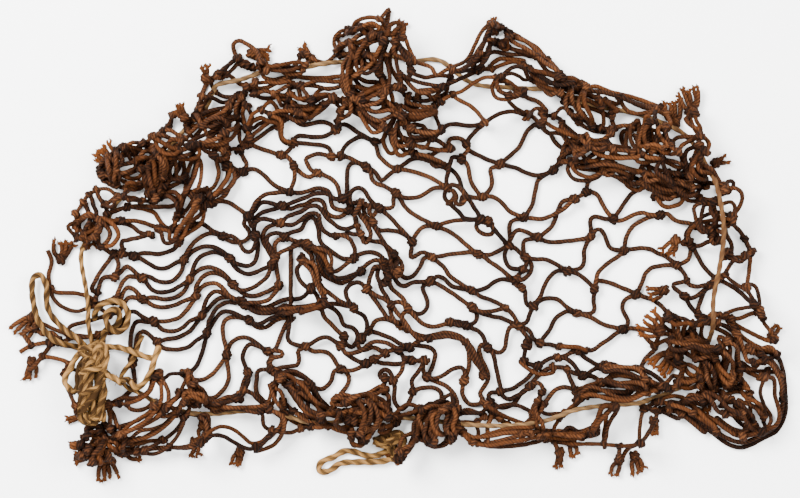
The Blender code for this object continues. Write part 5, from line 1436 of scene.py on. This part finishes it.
for number, (row, node) in enumerate(zip(TUFTS, tuft_nodes)):
    name = f"tuft_{number + 1:02d}"
    strands = Strands(TWINE_WIDE / 2)
    level = height[node]
    head = np.array(row[:2], float)
    towards = turned(np.array((1.0, 0.0)), math.radians(row[2]))
    left = turned(towards, math.pi / 2)
    frayed = 1.0 if row[5] >= MOST_FRAYED else LESS_FRAYED
    for turns in (KNOT_TURNS, KNOT_BIGHT):
        line = [(*(head + along * towards + across * left), level + rise)
                for along, across, rise in turns]
        strands.add(np.array(line), LINE_STEP, chance.random(), 1.0, HEAD_RUST)
    for line in tuft_lines(row):
        run = np.linspace(0, 1, len(line))
        ahead = (line[-1] - line[0]) / np.linalg.norm(line[-1] - line[0])
        rise = level + TWINE_WIDE / 2 + run * chance.uniform(0.0, STEM_RISE)
        bow = np.sin(run * math.pi) * chance.uniform(-STEM_BOW, STEM_BOW)
        bent = line + turned(ahead, math.pi / 2) * bow[:, None]
        stem = np.column_stack([bent, rise])[:STEM_POINTS]
        rust = (STEM_RUST[0], STEM_RUST[1] * frayed)
        strands.add(stem, LINE_STEP, chance.random(), STEM_THICK, rust)
        for ply in range(3):
            opened = opened_ply(stem[-1], ahead, (ply - 1) * PLY_OPEN, frayed, level)
            strands.add(opened, PLY_STEP, chance.random(), PLY_THICK, (0.5 * frayed, frayed))
            for _ in range(FIBRES):
                fibre = loose_fibre(opened, ahead, level)
                strands.add(fibre, FIBRE_STEP, chance.random(), FIBRE_THICK, frayed)
    piece = strands.finish(name, strand_tree, PLY_SIZES)
    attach(piece, "root")
    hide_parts(name)


# Hemp string
# The drawstring and the tie are one kind of string: two thick plies of golden hemp, worn browner
# where the string has rubbed on the right side of the net. In the tie it has opened and is wider.
TIE_WIDE = 3.2
THREADED_THICK = 0.9
HEMP_LAY = 13 * METRE
HEMP_HAIR = 0.7 * METRE
HEMP_STEP = 1.0
# The dark colour shows in the painted shade between the plies and in the dark streaks of the fibre.
HEMP_FINISH = {
    "dark": (0.018, 0.0078, 0.0019),
    "light": (0.225, 0.114, 0.035),
    "pale": (0.150, 0.088, 0.044),
    "stain": (0.034, 0.009, 0.002),
}
HEMP_ROUGH = 0.8
HEMP_STREAKS = (170.0, 8.0)
HEMP_PATCHES = 60.0
HEMP_BUMP = 0.0004
RUBBED = (-0.13, -0.11)
STAINED = (0.14, 0.168)
FAR_ENDS = {
    "tie_left_bight": "object", "tie_left_end": "bare", "tie_eye": "object",
    "tie_right_bight": "object", "lower_bight": "object",
}


def hemp_finish():
    """Pale hemp: streaks of light and dark fibre, painted shade between the plies, brown where stained."""
    finish = Finish("hemp", HEMP_ROUGH)
    crest, streaks = finish.plies(2, HEMP_LAY, *HEMP_STREAKS)
    place = finish.place()
    x = finish.parts(place)[0]
    patches = finish.noise(place, HEMP_PATCHES)
    shade = finish.attribute("shade")
    # Painted shade: each ply's crest is paler than the groove between plies. This adds to the fibre's own
    # streaks, patches and tone.
    fibre_tone_and_ply_shade = crest * 0.4 + streaks * 1.6 + patches * 0.6 + shade * 0.35 - 1.12
    colour = finish.mix(finish.smooth(fibre_tone_and_ply_shade, 0.05, 0.8), HEMP_FINISH["dark"], HEMP_FINISH["light"])
    rubbed = finish.attribute("cut") * finish.smooth(x, *RUBBED)
    colour = finish.mix(rubbed * 0.4, colour, HEMP_FINISH["pale"])
    stained = finish.smooth(x + patches * 0.02, *STAINED) * 0.6
    finish.paint(finish.mix(stained, colour, HEMP_FINISH["stain"]))
    finish.bump(streaks + crest * 0.5, HEMP_BUMP)
    return finish.material


HEMP_SIZES = {
    "Radius": STRING_WIDE / 2 * METRE, "Plies": 2.0, "Ply Depth": 0.1, "Lay Length": HEMP_LAY,
    "Sides": 10, "Hairs": 40000.0, "Hair Length": HEMP_HAIR, "Finish": hemp_finish(),
}
cord_ends = []
for name, route in cord_routes.items():
    strands = Strands(STRING_WIDE / 2)
    line = np.column_stack([route, height[loose_nodes[name]] + STRING_WIDE / 2])
    thick, rubbed = (TIE_WIDE / STRING_WIDE, 0.0) if name in FAR_ENDS else (THREADED_THICK, 1.0)
    even = strands.add(line, HEMP_STEP, chance.random(), thick, rubbed)
    cord_ends += [(even[0], even[0] - even[3]), (even[-1], even[-1] - even[-4])]
    piece = strands.finish(name, strand_tree, HEMP_SIZES)
    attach(piece, "root")
    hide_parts(name)
    if name in FAR_ENDS:
        middle = np.array((*PLAN_MIDDLE, 0.0))
        path = [tuple(place) for place in (even - middle) * METRE]


# Tie knots
# The string is wound and tied over itself into two lumps: the long tie on the left, with its
# bights, and a short one where the last bight hangs from the lower edge. Worn fibres stand out.
STEM_REACH = 13.0
TIE_SHADE = (-0.9, 0.7)
TIE_THICK = (1.0, 1.2)
TIE_TURNS = {
    # x, y and height of each point of a turn, in squares to the right and down and millimetres
    "tie_knot": (
        (92,354,3.0, 93,368,3.5, 94,384,3.5, 93,400,3.5, 94,414,3.0),
        (100,354,3.0, 101,368,3.5, 101,384,3.5, 100,400,3.5, 99,414,3.0),
        (97,351,6.5, 91,357,7.5, 89,366,8.0, 87,378,8.0, 86,390,7.5, 85,401,7.0, 83,411,5.0,
         87,418,4.5, 95,420,5.0),
        (98,357,8.0, 93,363,8.5, 91,374,8.5, 90,386,8.5, 89,397,8.0, 88,407,7.0, 92,415,6.0,
         100,416,5.5, 105,411,4.5),
        (102,362,7.5, 97,367,8.0, 95,377,7.5, 94,386,8.5, 95,395,8.5, 98,402,7.5, 98,411,6.5, 94,417,5.5),
        (106,370,7.5, 104,379,8.5, 102,387,9.0, 99,393,9.0, 95,398,9.0, 91,404,8.5, 87,411,7.0),
        (106,377,6.5, 108,386,6.0, 108,395,6.0, 105,402,6.5, 103,409,6.0, 104,417,4.5),
        (104,376,7.5, 105,390,7.0, 105,399,5.5, 107,409,4.0, 107,419,3.0),
        (85,373,6.0, 89,370,9.0, 95,368,9.8, 102,367,9.2, 107,363,7.5),
        (85,393,6.5, 91,390,9.6, 98,387,9.8, 104,382,8.8, 108,377,6.5),
        (84,351,4.5, 86,348,6.5, 91,347,7.5, 96,348,7.5, 98,350,6.5, 94,353,7.5, 88,353,7.5, 84,351,5.5),
        (99,363,6.5, 99,355,7.5, 101,347,8.0, 105,343,8.0, 109,346,7.5, 111,353,7.5, 110,361,7.5,
         107,370,7.5),
        (103,364,8.0, 103,355,8.0, 104,349,8.0, 107,354,8.0, 107,363,8.0),
        (90,356,5.5, 85,361,4.0, 82,369,2.5, 81,378,2.0, 82,387,2.5, 86,394,4.5),
        (83,408,3.5, 83,414,3.0, 88,420,3.5, 96,421,4.0, 103,417,3.5),
        (106,371,5.5, 113,374,5.5, 119,377,5.5, 124,381,5.5),
    ),
    "lower_knot": (
        (374,440,2.0, 380,437,3.0, 388,434,3.5, 396,432,3.5, 402,434,3.0, 404,440,3.0, 401,446,2.5),
        (374,441,3.0, 380,443,4.5, 388,440,5.5, 394,436,5.0, 400,434,4.0),
        (377,443,1.8, 384,445,3.5, 392,443,4.5, 398,439,5.5, 403,440,4.0, 402,447,3.0),
        (380,438,4.0, 386,440,5.0, 393,440,5.5, 398,436,4.5, 402,437,3.5),
        (376,439,1.5, 385,441,1.8, 394,440,1.8, 401,441,1.5),
    ),
}
# Short worn fibres that stand out of each knot.
WORN_FIBRES = {"tie_knot": 220, "lower_knot": 55}
WORN_THICK = (0.16, 0.08)
WORN_LONG = (1.6, 3.2)
WORN_RISE = (0.2, 1.8)
WORN_DROOP = (0.4, 1.3)
for name, rows in TIE_TURNS.items():
    strands = Strands(STRING_WIDE / 2)
    level = height[tie_nodes[name]]
    wound = []
    for row in rows:
        points = np.array(row).reshape(-1, 3)
        line = np.column_stack([(points[:, :2] - ORIGIN) * (SQUARE, -SQUARE), level + points[:, 2]])
        wound.append(strands.add(line, HEMP_STEP, chance.uniform(*TIE_SHADE), chance.uniform(*TIE_THICK)))
    turn = np.concatenate(wound)
    for tip, ahead in cord_ends:
        nearest = turn[int(np.argmin(np.linalg.norm(turn[:, :2] - tip[:2], axis=1)))]
        if np.linalg.norm(nearest[:2] - tip[:2]) < STEM_REACH:
            bend = tip + ahead / np.linalg.norm(ahead) * STRING_WIDE
            stem = np.array((tip, bend, nearest))
            strands.add(stem, HEMP_STEP, chance.random(), TIE_WIDE / STRING_WIDE)
    for _ in range(WORN_FIBRES[name]):
        root = chance.choice(chance.choice(wound))
        out = turned(np.array((1.0, 0.0)), chance.uniform(0, 2 * math.pi))
        far, rise = chance.uniform(*WORN_LONG), chance.uniform(*WORN_RISE)
        middle = root + (*(out * far * 0.6), rise)
        tip = root + (*(out * far), rise * chance.uniform(*WORN_DROOP))
        strands.add(np.array((root, middle, tip)), FIBRE_STEP, chance.random(), WORN_THICK)
    piece = strands.finish(name, strand_tree, HEMP_SIZES)
    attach(piece, "root")
    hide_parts(name)
